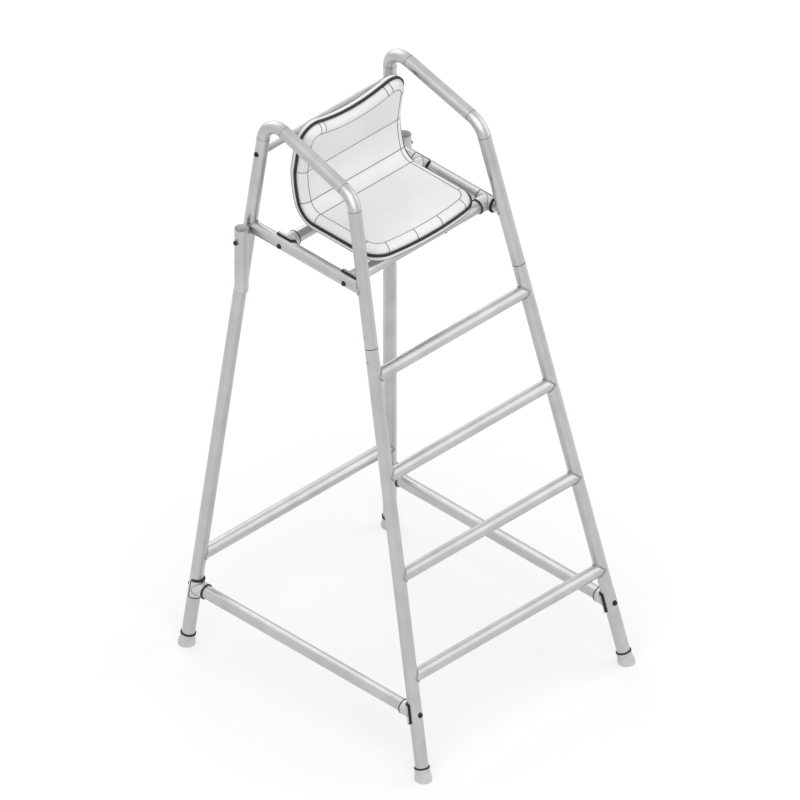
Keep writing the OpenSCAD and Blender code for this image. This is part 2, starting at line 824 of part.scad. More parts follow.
// What carries the seat
strap_z = rail_z + tube_r;
strap_top_z = strap_z + strap_t;
seat_under_z = seat_z - seat_depth;
seat_insert_r = screw_r + seat_insert_wall;
seat_flange_r = seat_insert_r + seat_insert_flange;

module seat_screw_places() {
  for (side = [-1, 1], y = [seat_screw_front_y, seat_screw_rear_y])
    translate([side * strap_span / 2, y, seat_under_z]) children();
}

module strap_bolt_places() {
  for (side = [-1, 1], y = [front_bar_y, rear_bar_y])
    translate([side * strap_span / 2, y, rail_z]) children();
}

module seat_strap(side) {
  color(MILLED)
    difference() {
      translate([side * strap_span / 2 - strap_w / 2, front_bar_y - strap_end, strap_z])
        cube([strap_w, rear_bar_y - front_bar_y + 2 * strap_end, strap_t]);
      seat_screw_places() translate([0, 0, strap_z - seat_under_z - cut])
        cylinder(r = screw_hole_r, h = strap_t + 2 * cut);
      strap_bolt_places() cylinder(r = hole_r, h = tube_r + strap_t + cut);
    }
}

module seat_spacers() {
  color(DARK)
    seat_screw_places() translate([0, 0, strap_top_z - seat_under_z])
      pipe(spacer_r, spacer_r - screw_hole_r, seat_under_z - strap_top_z);
}

module seat_inserts() {
  color(BRASS)
    seat_screw_places() difference() {
      union() {
        cylinder(r = seat_insert_r, h = shell_t);
        translate([0, 0, shell_t]) cylinder(r = seat_flange_r, h = seat_flange_h);
      }
      translate([0, 0, -cut]) cylinder(r = screw_r, h = shell_t + seat_flange_h + 2 * cut);
    }
}

module seat_screws() {
  color(FASTENER)
    seat_screw_places() translate([0, 0, strap_z - seat_under_z]) {
      translate([0, 0, -screw_head_h]) cylinder(r = screw_head_r, h = screw_head_h);
      cylinder(r = screw_r, h = seat_under_z - strap_z + shell_t + seat_flange_h);
    }
}

module strap_bolts() {
  color(FASTENER)
    strap_bolt_places() {
      translate([0, 0, -tube_r - head_h]) cylinder(r = bolt_r, h = 2 * tube_r + strap_t + head_h);
      translate([0, 0, tube_r + strap_t]) cylinder(r = head_r, h = head_h);
    }
}

module strap_nuts() {
  color(FASTENER)
    strap_bolt_places() difference() {
      translate([0, 0, -tube_r - head_h]) cylinder(r = head_r, h = 2 * head_h);
      rotate([0, 90, 0]) cylinder(r = tube_r, h = 4 * head_r, center = true);
      translate([0, 0, -2 * tube_r]) cylinder(r = bolt_r, h = 2 * tube_r);
    }
}

// Umbrella sockets: upright, beside the foot of the leaning post
leg_total_lean = acos(cos(side_tilt) * cos(rear_lean));
socket_offset = (socket_r + tube_r / cos(leg_total_lean) + socket_gap) / sqrt(2);
socket_x = side_x(socket_z) + socket_offset;
socket_y = rear_y(socket_z) - socket_offset;
socket_top_z = socket_z + socket_len;
clamp_z = socket_top_z - clamp_drop;
bore_r = socket_bore / 2;
floor_r = socket_r - floor_inset;
boss_bore_r = bolt_r + thread_gap;

module socket_place(right, z) {
  mirror([right ? 1 : 0, 0, 0]) translate([-socket_x, socket_y, z]) children();
}

module umbrella_socket(right) {
  color(STEEL)
    difference() {
      socket_place(right, socket_z + socket_floor_t)
        pipe(socket_r, socket_r - bore_r, socket_len - socket_floor_t);
      socket_place(right, clamp_z) rotate([0, -90, 0]) cylinder(r = boss_bore_r, h = 2 * socket_r);
    }
}

module socket_floors() {
  color(STEEL)
    for (right = [false, true])
      socket_place(right, socket_z) pipe(floor_r, floor_r - drain_r, socket_floor_t);
}

module socket_webs() {
  z = rail_z - bar_r - web_gap - web_h;
  from = [-socket_x, socket_y];
  to = [-side_x(z + web_h / 2), rear_y(z + web_h / 2)];
  span = norm(to - from);
  aim = atan2(to[1] - from[1], to[0] - from[0]);
  color(STEEL)
    for (right = [false, true])
      difference() {
        socket_place(right, z) rotate([0, 0, aim]) translate([0, -web_t / 2, 0]) cube([span, web_t, web_h]);
        socket_place(right, z - cut) cylinder(r = socket_r, h = web_h + 2 * cut);
        rear_leg_core(right);
      }
}

// Clamp screws: X runs into the socket from its outer face
module clamp_place(right) {
  socket_place(right, clamp_z) translate([-bore_r, 0, 0]) children();
}

module clamp_bosses() {
  color(STEEL)
    for (right = [false, true])
      difference() {
        clamp_place(right) translate([bore_r - socket_r - boss_h, 0, 0]) rotate([0, 90, 0])
          pipe(boss_r, boss_r - boss_bore_r, socket_r);
        socket_place(right, clamp_z - 2 * boss_r) cylinder(r = socket_r, h = 4 * boss_r);
      }
}

module clamp_pad(right) {
  color(NYLON)
    clamp_place(right) translate([-pad_back, 0, 0]) rotate([0, -90, 0]) {
      cylinder(r = pad_r, h = pad_t);
      cylinder(r = pad_stem_r, h = pad_t + pad_stem_len);
    }
}

screw_tip = pad_back + pad_t + thread_gap;
screw_under_head = socket_r - bore_r + boss_h + clamp_travel + pad_back;

module clamp_screw(right) {
  color(FASTENER)
    clamp_place(right) rotate([0, -90, 0]) difference() {
      union() {
        translate([0, 0, screw_tip]) cylinder(r = bolt_r, h = screw_under_head - screw_tip + cut);
        translate([0, 0, screw_under_head]) cylinder(r = hex_af / sqrt(3), h = hex_h, $fn = 6);
      }
      translate([0, 0, screw_tip - cut])
        cylinder(r = pad_stem_r + thread_gap, h = pad_stem_len + cut + thread_gap);
    }
}

arm_tube(false);  // left_arm_tube
arm_tube(true);  // right_arm_tube
seat_rail(false);  // left_seat_rail
seat_rail(true);  // right_seat_rail
front_leg(false);  // left_front_leg
front_leg(true);  // right_front_leg
rear_leg(false);  // left_rear_leg
rear_leg(true);  // right_rear_leg
rung(1);  // rung_1
rung(2);  // rung_2
rung(3);  // rung_3
rung(4);  // rung_4
rear_tie_bar();
side_tie_bar(false);  // left_side_tie_bar
side_tie_bar(true);  // right_side_tie_bar
front_joint_sleeve(false);  // left_front_joint_sleeve
front_joint_sleeve(true);  // right_front_joint_sleeve
rear_joint_sleeve(false);  // left_rear_joint_sleeve
rear_joint_sleeve(true);  // right_rear_joint_sleeve
front_tie_saddle(false);  // left_front_tie_saddle
front_tie_saddle(true);  // right_front_tie_saddle
rear_tie_saddle(false);  // left_rear_tie_saddle
rear_tie_saddle(true);  // right_rear_tie_saddle
seat_saddle(false, front_bar_y);  // left_front_seat_saddle
seat_saddle(true, front_bar_y);  // right_front_seat_saddle
seat_saddle(false, rear_bar_y);  // left_rear_seat_saddle
seat_saddle(true, rear_bar_y);  // right_rear_seat_saddle
seat_bar(front_bar_y);  // front_seat_bar
seat_bar(rear_bar_y);  // rear_seat_bar
back_bar();
back_bar_plugs();
saddle_inserts();
front_foot(false);  // left_front_foot
front_foot(true);  // right_front_foot
rear_foot(false);  // left_rear_foot
rear_foot(true);  // right_rear_foot
tie_bolts();
seat_bar_bolts();
back_bar_bolts();
joint_screws();
seat_top_shell();
seat_base_shell();
seat_edge_trim();
seat_strap(-1);  // left_seat_strap
seat_strap(1);  // right_seat_strap
seat_spacers();
seat_inserts();
seat_screws();
strap_bolts();
strap_nuts();
umbrella_socket(false);  // left_umbrella_socket
umbrella_socket(true);  // right_umbrella_socket
socket_floors();
socket_webs();
clamp_bosses();
clamp_pad(false);  // left_clamp_pad
clamp_pad(true);  // right_clamp_pad
clamp_screw(false);  // left_clamp_screw
clamp_screw(true);  // right_clamp_screw
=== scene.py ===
"""Dresses the lifeguard chair: finishes, moulded seat, weld beads and fasteners, light and camera.

Every length is in metres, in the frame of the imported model: the origin is on the floor at the middle of
the four feet, the ladder faces -Y, and left is -X.
"""

from __future__ import annotations

import logging
from dataclasses import dataclass, field
from enum import Enum
from functools import cached_property
from math import asin, ceil, copysign, cos, pi, radians, sin, sqrt, tan, tau
from typing import Any, Callable, Sequence

import bmesh
import bpy
from mathutils import Matrix, Vector

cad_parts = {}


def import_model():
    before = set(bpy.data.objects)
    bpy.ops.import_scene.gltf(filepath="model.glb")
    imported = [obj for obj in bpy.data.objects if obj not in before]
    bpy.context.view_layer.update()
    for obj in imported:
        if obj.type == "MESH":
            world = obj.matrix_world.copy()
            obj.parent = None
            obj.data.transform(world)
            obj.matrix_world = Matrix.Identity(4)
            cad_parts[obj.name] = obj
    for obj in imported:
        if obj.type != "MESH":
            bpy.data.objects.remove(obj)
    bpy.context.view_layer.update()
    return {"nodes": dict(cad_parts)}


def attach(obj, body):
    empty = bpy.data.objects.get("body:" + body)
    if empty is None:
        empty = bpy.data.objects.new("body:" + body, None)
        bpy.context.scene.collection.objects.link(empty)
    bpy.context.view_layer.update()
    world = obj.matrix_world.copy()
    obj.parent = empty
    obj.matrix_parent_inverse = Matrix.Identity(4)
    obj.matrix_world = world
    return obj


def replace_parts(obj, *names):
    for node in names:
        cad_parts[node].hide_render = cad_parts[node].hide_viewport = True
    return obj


LOG = logging.getLogger("lifeguard_chair")
MM = 0.001
# The finest grain that a render of the whole chair can show. A finer real one is drawn this coarse.
FINEST = 2.5 * MM
# A gap too small to see, which keeps two skins apart.
HAIR = 0.05 * MM
# Points once round a bolt or a mark, round a collar or a socket's lip, and round a foot.
BOLT_STEPS = 48
COLLAR_STEPS = 72
FOOT_STEPS = 64
ACROSS = Vector((1.0, 0.0, 0.0))
ALONG = Vector((0.0, 1.0, 0.0))
UP = Vector((0.0, 0.0, 1.0))

Tree = bpy.types.NodeTree
Socket = bpy.types.NodeSocket
Nodes = dict[str, bpy.types.Object]
Profile = Sequence[tuple[float, float]]
Line = tuple[Vector, Vector]


def link(name: str, data: bpy.types.ID) -> bpy.types.Object:
    """Add an object to the scene."""
    made = bpy.data.objects.new(name, data)
    bpy.context.scene.collection.objects.link(made)
    return made


def blank_tree(owner: bpy.types.ID) -> Tree:
    """Switch a material or the world to nodes, with none in it yet."""
    owner.use_nodes = True
    owner.node_tree.nodes.clear()
    return owner.node_tree


def srgb(code: str) -> tuple[float, ...]:
    """Turn an sRGB hex colour, as "#rrggbb", into linear light with an alpha of 1."""
    shares = [int(code[i : i + 2], 16) / 255 for i in (1, 3, 5)]
    return (*[c / 12.92 if c <= 0.04045 else ((c + 0.055) / 1.055) ** 2.4 for c in shares], 1.0)


def add_node(tree: Tree, kind: str, **values: Any) -> Sequence[Socket]:
    """Add one shader node with its settings and its inputs.

    Args:
        tree: takes the node.
        kind: Blender's name for the node's type, less the word ShaderNode.
        values: settings by their own names, and a value or an output socket for each input, by the
            input's name with _ for a space, or by its place as i0, i1 and so on.

    Returns:
        The new node's outputs.
    """
    node = tree.nodes.new("ShaderNode" + kind)
    for name, value in values.items():
        if hasattr(node, name):
            setattr(node, name, value)
            continue
        taker = node.inputs[int(name[1:]) if name[1:].isdigit() else name.replace("_", " ")]
        if isinstance(value, Socket):
            tree.links.new(value, taker)
        else:
            taker.default_value = value
    return node.outputs


class Half(Enum):
    """One half of the chair, as the sign of an axis."""

    @property
    def label(self) -> str:
        """The half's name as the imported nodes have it."""
        return self.name.lower()


class Side(Half):
    """The left and the right half, as the sign of X."""

    LEFT = -1
    RIGHT = 1

    @property
    def out(self) -> Vector:
        """The direction away from the middle of the chair."""
        return self.value * ACROSS


class End(Half):
    """The ladder's half and the rear one, as the sign of Y."""

    FRONT = -1
    REAR = 1

    @property
    def out(self) -> Vector:
        """The direction away from the middle of the chair."""
        return self.value * ALONG


@dataclass(frozen=True)
class Corner:
    """One corner of the chair."""

    side: Side
    end: End

    @property
    def label(self) -> str:
        """The corner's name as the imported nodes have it."""
        return f"{self.side.label}_{self.end.label}"


CORNERS = [Corner(side, end) for side in Side for end in End]


class Body(Enum):
    """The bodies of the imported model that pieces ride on."""

    CHAIR = "chair"
    LEFT_SCREW = "left_clamp_screw"
    RIGHT_SCREW = "right_clamp_screw"


# Finishes


@dataclass(frozen=True)
class Grain:
    """A fine pattern that tilts the surface and shifts its roughness.

    Args:
        spacing: size of one grain on the real surface.
        height: how far the grain stands up.
        swing: how far the grain moves the roughness either way.
        stretch: how many times longer the grain is across its axis than along it.
        axis: the direction that the grain changes along.
    """

    spacing: float
    height: float
    swing: float = 0.04
    stretch: float = 1.0
    axis: tuple[float, ...] = (0.0, 0.0, 1.0)


@dataclass(frozen=True)
class Finish:
    """One real finish.

    Args:
        name: the material's name.
        colour: its sRGB colour.
        shade: the sRGB colour that it drifts to in patches.
        patch: size of those patches.
        roughness: of the surface.
        grain: the fine pattern.
        metallic: 1 for bare metal, less for metal under a dull skin, and 0 for the rest.
        ior: of the surface; a metal keeps the default.
        wear: the sRGB colour that shows on worn edges, or none.
    """

    name: str
    colour: str
    shade: str
    patch: float
    roughness: float
    grain: Grain
    metallic: float = 0.0
    ior: float = 1.5
    wear: str | None = None

    def build(self) -> bpy.types.Material:
        """Make the material, or fetch it if it is made already.

        Returns:
            The material.
        """
        made = bpy.data.materials.get(self.name)
        if made:
            return made
        made = bpy.data.materials.new(self.name)
        tree = blank_tree(made)
        place = add_node(tree, "TexCoord")["Object"]
        height = self._height(tree, place)
        low, high = self.roughness - self.grain.swing, self.roughness + self.grain.swing
        rough = add_node(tree, "MapRange", Value=height, To_Min=low, To_Max=high)[0]
        bump = add_node(tree, "Bump", Strength=1.0, Distance=self.grain.height, Height=height)[0]
        surface = {"Base_Color": self._colour(tree, place), "Roughness": rough, "Normal": bump}
        shader = add_node(tree, "BsdfPrincipled", Metallic=self.metallic, IOR=self.ior, **surface)[0]
        add_node(tree, "OutputMaterial", Surface=shader)
        return made

    def _colour(self, tree: Tree, place: Socket) -> Socket:
        """Drift between the two colours in patches, and lay the worn colour on the edges."""
        scale = 1 / self.patch
        patches = add_node(tree, "TexNoise", Vector=place, Scale=scale, Detail=3.0, Roughness=0.55)[0]
        share = add_node(tree, "MapRange", Value=patches, From_Min=0.35, From_Max=0.7)[0]
        ends = {"i6": srgb(self.colour), "i7": srgb(self.shade)}
        mixed = add_node(tree, "Mix", data_type="RGBA", i0=share, **ends)[2]
        if self.wear is None:
            return mixed
        point = add_node(tree, "NewGeometry")["Pointiness"]
        edge = add_node(tree, "MapRange", Value=point, From_Min=0.53, From_Max=0.62)[0]
        broken = add_node(tree, "Math", operation="MULTIPLY", i0=edge, i1=patches)[0]
        return add_node(tree, "Mix", data_type="RGBA", i0=broken, i6=mixed, i7=srgb(self.wear))[2]

    def _height(self, tree: Tree, place: Socket) -> Socket:
        """Lay the grain, stretched across its axis."""
        turn = Vector(self.grain.axis).normalized().to_track_quat("Z", "Y").inverted().to_euler()
        squeeze = (1 / self.grain.stretch, 1 / self.grain.stretch, 1.0)
        laid = add_node(tree, "Mapping", Vector=place, Rotation=tuple(turn), Scale=squeeze)[0]
        scale = 1 / max(self.grain.spacing, FINEST)
        return add_node(tree, "TexNoise", Vector=laid, Scale=scale, Detail=2.0, Roughness=0.6)[0]


def satin_tube(axis: Sequence[float], name: str) -> Finish:
    """Stainless steel tube, polished with a belt that runs round it.

    The belt leaves fine lines round the tube, which soften a lamp's reflection into a long pale streak.

    Args:
        axis: the tube's own direction.
        name: the part of the frame that the finish is for.

    Returns:
        The finish.
    """
    lines = Grain(0.1 * MM, 0.012 * MM, swing=0.07, stretch=22.0, axis=tuple(axis))
    return Finish(f"satin_stainless_{name}", "#c0c1c2", "#b3b5b6", 90 * MM, 0.31, lines, metallic=1.0)


# Cold-rolled stainless steel, as it leaves the mill: a dull even grey with no lines.
MILL_STEEL = Finish(
    "mill_stainless", "#b4b7ba", "#a6aaad", 40 * MM, 0.42, Grain(1.2 * MM, 0.01 * MM, 0.05), metallic=1.0
)
# Stainless steel weld, pickled clean: a duller and darker grey than the tube beside it.
WELD_STEEL = Finish(
    "pickled_weld", "#a4a6a8", "#85878a", 5 * MM, 0.45, Grain(0.7 * MM, 0.03 * MM, 0.08), metallic=1.0
)
# Black-oxide steel: nearly black, with a dull sheen and grey metal where a wrench has worn the edges.
OXIDE = Grain(0.5 * MM, 0.008 * MM)
BLACK_OXIDE = Finish(
    "black_oxide_steel", "#17181a", "#222427", 6 * MM, 0.38, OXIDE, metallic=0.6, wear="#5d6063"
)
# Die-cast aluminium, tumbled: pale and matt, with the fine pitting that tumbling leaves.
PITTING = Grain(0.8 * MM, 0.035 * MM, 0.06)
CAST_ALUMINIUM = Finish(
    "tumbled_cast_aluminium", "#c9cbcb", "#bdbfc0", 18 * MM, 0.48, PITTING, metallic=1.0, wear="#e2e3e3"
)
# Neoprene: black and matt, with no highlight to speak of. The dark edge round each casting and each foot.
NEOPRENE = Finish(
    "neoprene_seal", "#141415", "#1d1d1e", 12 * MM, 0.74, Grain(0.6 * MM, 0.02 * MM), ior=1.52
)
# Extruded rubber trim: black, with a faint dull shine along its rounded outside.
TRIM_RUBBER = Finish(
    "extruded_rubber_trim", "#121213", "#1a1a1b", 25 * MM, 0.65, Grain(1.0 * MM, 0.015 * MM), ior=1.52
)
# Non-marking grey rubber, moulded: pale and matt, darker where dirt has rubbed in and paler on its edges.
MOULD_SKIN = Grain(0.7 * MM, 0.04 * MM)
FOOT_RUBBER = Finish(
    "moulded_grey_rubber", "#d3d4d2", "#c5c6c4", 20 * MM, 0.66, MOULD_SKIN, ior=1.52, wear="#dddedc"
)
# Thermoformed polyethylene: an even white with a fine leather-like grain and a soft wide shine.
SEAT_SHELL = Finish(
    "moulded_polyethylene", "#efefee", "#eaeae9", 120 * MM, 0.4, Grain(1.3 * MM, 0.05 * MM, 0.05), ior=1.51
)
# Painted shade in the mould's grooves and along the seat's edges: the thin dark grey lines that divide the
# seat.
GROOVE_SHADE = Finish(
    "moulded_groove", "#484a4c", "#545658", 15 * MM, 0.7, Grain(0.5 * MM, 0.01 * MM), ior=1.51
)
# Polyamide, turned: cream and waxy, for the pads that press on a pole.
PAD_NYLON = Finish(
    "turned_polyamide", "#e2dccb", "#d5cfbe", 5 * MM, 0.45, Grain(0.4 * MM, 0.01 * MM), ior=1.53
)
# Turned brass: yellow and bright, with fine rings from the lathe.
BRASS = Finish("turned_brass", "#c9a863", "#b89753", 8 * MM, 0.3, Grain(0.4 * MM, 0.01 * MM), metallic=1.0)
# Inside of a drawn tube, under its dull film: a pale even grey, so that an open mouth doesn't look black.
DRAWN_BORE = Finish("drawn_tube_bore", "#dcddde", "#cfd0d1", 20 * MM, 0.7, Grain(0.8 * MM, 0.01 * MM))
# Tube, where a bending die or a saw has marked it: a thin dull line round the tube. Also painted shade: the
# same dark line laid along the crease at each saddle collar's root.
TOOL_MARK = Finish("tool_mark", "#34373a", "#424548", 10 * MM, 0.6, Grain(0.4 * MM, 0.01 * MM), metallic=0.5)


def dress(nodes: Nodes, looks: dict[Finish, Sequence[str]]) -> None:
    """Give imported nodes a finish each, in place of what they have."""
    for look, names in looks.items():
        for name in names:
            nodes[name].data.materials.clear()
            nodes[name].data.materials.append(look.build())


# Meshes


def angles(steps: int) -> list[float]:
    """Even angles, once round."""
    return [tau * i / steps for i in range(steps)]


def about_x(x: float, r: float, a: float) -> Vector:
    """A point at a distance along X, and at a radius and an angle from Y about it."""
    return Vector((x, r * cos(a), r * sin(a)))


def hexagon(a: float) -> float:
    """A hexagon's radius at an angle, as a share of half its width across its flats."""
    return 1 / cos(a % (pi / 3) - pi / 6)


def square_to(way: Vector, axis: Vector) -> Vector:
    """What is left of a vector without its part along a unit axis."""
    return way - way.dot(axis) * axis


def round_corner(at: Sequence[float], start: float, radius: float, steps: int) -> list[tuple[float, float]]:
    """Points of a quarter round about a centre, from an angle in degrees, with both ends."""
    turns = [radians(start + 90 * i / steps) for i in range(steps + 1)]
    return [(at[0] + radius * cos(a), at[1] + radius * sin(a)) for a in turns]


def place_of(origin: Vector, *axes: Vector) -> Matrix:
    """A place with the given origin and axes."""
    place = Matrix(axes).transposed().to_4x4()
    place.translation = origin
    return place


def frame_at(origin: Vector, x: Vector, z: Vector) -> Matrix:
    """A place with the given origin, X axis and rough Z axis."""
    x = x.normalized()
    z = square_to(z, x).normalized()
    return place_of(origin, x, z.cross(x), z)


@dataclass
class Shape:
    """A mesh in the making: points, and faces with the place of their finish in the piece's list."""

    points: list[Vector] = field(default_factory=list)
    faces: list[Sequence[int]] = field(default_factory=list)
    looks: list[int] = field(default_factory=list)

    def rings(
        self,
        rings: Sequence[Sequence[Vector]],
        look: int = 0,
        around: bool = True,
        along: bool = False,
        caps: bool = True,
    ) -> None:
        """Join rings of points into a skin.

        Args:
            rings: the rings in order, each with as many points.
            look: place of the finish in the piece's list.
            around: whether each ring closes on itself.
            along: whether the last ring joins the first.
            caps: whether the first and the last ring are closed off, where neither joins another.
        """
        start, count, size = len(self.points), len(rings), len(rings[0])
        self.points += [point for ring in rings for point in ring]
        faces: list[Sequence[int]] = []
        for k in range(count if along else count - 1):
            low, high = start + k * size, start + (k + 1) % count * size
            steps = [(i, (i + 1) % size) for i in range(size if around else size - 1)]
            faces += [(low + i, low + j, high + j, high + i) for i, j in steps]
        if caps and around and not along:
            last = start + (count - 1) * size
            faces += [range(start, start + size)[::-1], range(last, last + size)]
        self.faces += [tuple(face) for face in faces]
        self.looks += [look] * len(faces)

    def revolve(
        self, profile: Profile, axis: Line, steps: int = BOLT_STEPS, look: int = 0, loop: bool = False
    ) -> None:
        """Turn a profile about an axis.

        Args:
            profile: radius and height of each ring, in order.
            axis: its origin and direction.
            steps: points round each ring.
            look: place of the finish in the piece's list.
            loop: whether the profile closes on itself.
        """
        place = Matrix.LocRotScale(axis[0], axis[1].to_track_quat("Z", "Y"), None)
        ways = [(cos(a), sin(a)) for a in angles(steps)]
        made = [[place @ Vector((r * x, r * y, h)) for x, y in ways] for r, h in profile]
        self.rings(made, look, along=loop)

    def bead(
        self,
        track: Sequence[Line],
        radius: float | Callable[[float], float],
        sides: int = 10,
        closed: bool = True,
        look: int = 0,
    ) -> None:
        """Lay a round bead along a track.

        Args:
            track: the middle of the bead and the direction away from the skin under it, point by point.
            radius: the bead's radius, or what gives it at a distance along the track.
            sides: points round the bead.
            closed: whether the track closes on itself.
            look: place of the finish in the piece's list.
        """
        count, run, rings = len(track), 0.0, []
        for k, (middle, up) in enumerate(track):
            after = track[(k + 1) % count][0]
            start = track[k - 1][0] if closed or k > 0 else middle
            end = after if closed or k < count - 1 else middle
            way = (end - start).normalized()
            across = square_to(up, way).normalized()
            other = way.cross(across)
            r = radius(run) if callable(radius) else radius
            rings.append([middle + r * (cos(a) * across + sin(a) * other) for a in angles(sides)])
            run += (after - middle).length
        self.rings(rings, look, along=closed)

    def build(
        self, name: str, finishes: Sequence[Finish], slot: str, body: Body = Body.CHAIR, crease: float = 35.0
    ) -> bpy.types.Object:
        """Make the piece and let it ride on its body.

        Args:
            name: the piece's name.
            finishes: its finishes, in the order of the faces' looks.
            slot: the record's material slot; it is not used.
            body: the body that it rides on.
            crease: angle past which an edge stays sharp, in degrees.

        Returns:
            The piece.
        """
        mesh = bpy.data.meshes.new(name)
        mesh.from_pydata([tuple(p) for p in self.points], [], self.faces)
        mesh.polygons.foreach_set("material_index", self.looks)
        work = bmesh.new()
        work.from_mesh(mesh)
        bmesh.ops.remove_doubles(work, verts=work.verts, dist=1e-6)
        bmesh.ops.recalc_face_normals(work, faces=work.faces)
        work.to_mesh(mesh)
        work.free()
        for finish in finishes:
            mesh.materials.append(finish.build())
        mesh.shade_smooth()
        mesh.set_sharp_from_angle(angle=radians(crease))
        piece = link(name, mesh)
        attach(piece, body.value)
        LOG.info("%s: %d faces", name, len(mesh.polygons))
        return piece


# The frame of tube


@dataclass(frozen=True)
class TubeFrame:
    """The chair's stance and its tubes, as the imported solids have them."""

    stance_w: float = 834 * MM
    stance_d: float = 972 * MM
    side_tilt: float = radians(5)
    front_lean: float = radians(14)
    rear_lean: float = radians(5)
    tube_r: float = 20 * MM
    bar_r: float = 19.95 * MM
    first_rung_z: float = 308 * MM
    step_pitch: float = 304.8 * MM
    steps: int = 4
    side_tie_z: float = 203.2 * MM
    rear_tie_z: float = 311 * MM
    seam_z: float = 1312 * MM
    rail_z: float = 1487 * MM
    arm_z: float = 1769 * MM
    arm_slope: float = radians(16)
    front_bend_r: float = 73 * MM
    rear_bend_r: float = 63.5 * MM
    front_bar_y: float = -48 * MM
    rear_bar_y: float = 217 * MM
    back_bar_z: float = 1745 * MM
    joint_screw_gap: float = 40 * MM
    seam_mark: float = 1.5 * MM
    bend_mark: float = 0.8 * MM
    mark_sink: float = 0.5 * MM
    mark_stand: float = 0.25 * MM

    def side_x(self, z: float) -> float:
        """How far the side frames stand from the middle at a height."""
        return self.stance_w / 2 - z * tan(self.side_tilt)

    def lean(self, end: End) -> float:
        """How far the legs of an end lean within their side frame."""
        return self.front_lean if end is End.FRONT else self.rear_lean

    def leg(self, corner: Corner, z: float) -> Vector:
        """A point on a leg's axis."""
        y = self.stance_d / 2 - z / cos(self.side_tilt) * tan(self.lean(corner.end))
        return Vector((corner.side.value * self.side_x(z), corner.end.value * y, z))

    def leg_way(self, corner: Corner) -> Vector:
        """The direction of a leg, from its foot upwards."""
        return (self.leg(corner, 1.0) - self.leg(corner, 0.0)).normalized()

    def on_rail(self, corner: Corner) -> Vector:
        """Where a seat bar meets a seat rail's axis."""
        y = self.front_bar_y if corner.end is End.FRONT else self.rear_bar_y
        return Vector((corner.side.value * self.side_x(self.rail_z), y, self.rail_z))

    def side_up(self, side: Side) -> Vector:
        """Straight up within a side frame, which tilts inwards."""
        return Vector((-side.value * sin(self.side_tilt), 0.0, cos(self.side_tilt)))

    def side_out(self, side: Side) -> Vector:
        """Straight out from a side frame."""
        return Vector((side.value * cos(self.side_tilt), 0.0, sin(self.side_tilt)))

    def arm_tangents(self, side: Side) -> list[Line]:
        """Where the arm tube's two bends start and end, and the tube's direction there."""
        up, slope, front, rear = self.side_up(side), self.arm_slope, self.front_lean, self.rear_lean
        rise = self.arm_z / cos(self.side_tilt)
        y = -self.stance_d / 2 + rise * tan(front)
        run = (self.stance_d / 2 - rise * tan(rear) - y) / (cos(slope) + sin(slope) * tan(rear))
        leg = sin(front) * ALONG + cos(front) * up
        arm = cos(slope) * ALONG + sin(slope) * up
        post = -sin(rear) * ALONG + cos(rear) * up
        near = Vector((side.value * self.stance_w / 2, y, 0.0)) + rise * up
        far = near + run * arm
        near_cut = self.front_bend_r * tan((pi / 2 - front - slope) / 2)
        far_cut = self.rear_bend_r * tan((pi / 2 - rear + slope) / 2)
        cuts = ((near, -near_cut, leg), (near, near_cut, arm), (far, -far_cut, arm), (far, -far_cut, post))
        return [(corner + cut * way, way) for corner, cut, way in cuts]

    def dress_tubes(self, nodes: Nodes) -> None:
        """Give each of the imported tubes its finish, with the polish running round it."""
        rungs = [f"rung_{count}" for count in range(1, self.steps + 1)]
        across = (*rungs, "rear_tie_bar", "front_seat_bar", "rear_seat_bar", "back_bar")
        along = [f"{side.label}_{bar}" for side in Side for bar in ("side_tie_bar", "seat_rail")]
        arms = [f"{side.label}_arm_tube" for side in Side]
        looks: dict[Finish, Sequence[str]] = {
            satin_tube(ACROSS, "across"): across,
            satin_tube(ALONG, "along"): along,
            satin_tube((0.0, 0.25, 0.97), "arm"): arms,
        }
        for corner in CORNERS:
            name = f"{corner.label}_leg"
            looks[satin_tube(self.leg_way(corner), name)] = [name]
        dress(nodes, looks)

    def marks(self) -> None:
        """Draw the ring at each leg joint and the fainter ones where each bend starts and ends."""
        shape = Shape()
        low, high = self.tube_r - self.mark_sink, self.tube_r + self.mark_stand
        rings = [((self.leg(c, self.seam_z), self.leg_way(c)), self.seam_mark) for c in CORNERS]
        rings += [(line, self.bend_mark) for side in Side for line in self.arm_tangents(side)]
        for line, half in rings:
            shape.revolve([(low, -half), (high, -half * 0.7), (high, half * 0.7), (low, half)], line)
        shape.build("tube_joint_rings", [TOOL_MARK], "satin_tube")


# Welds


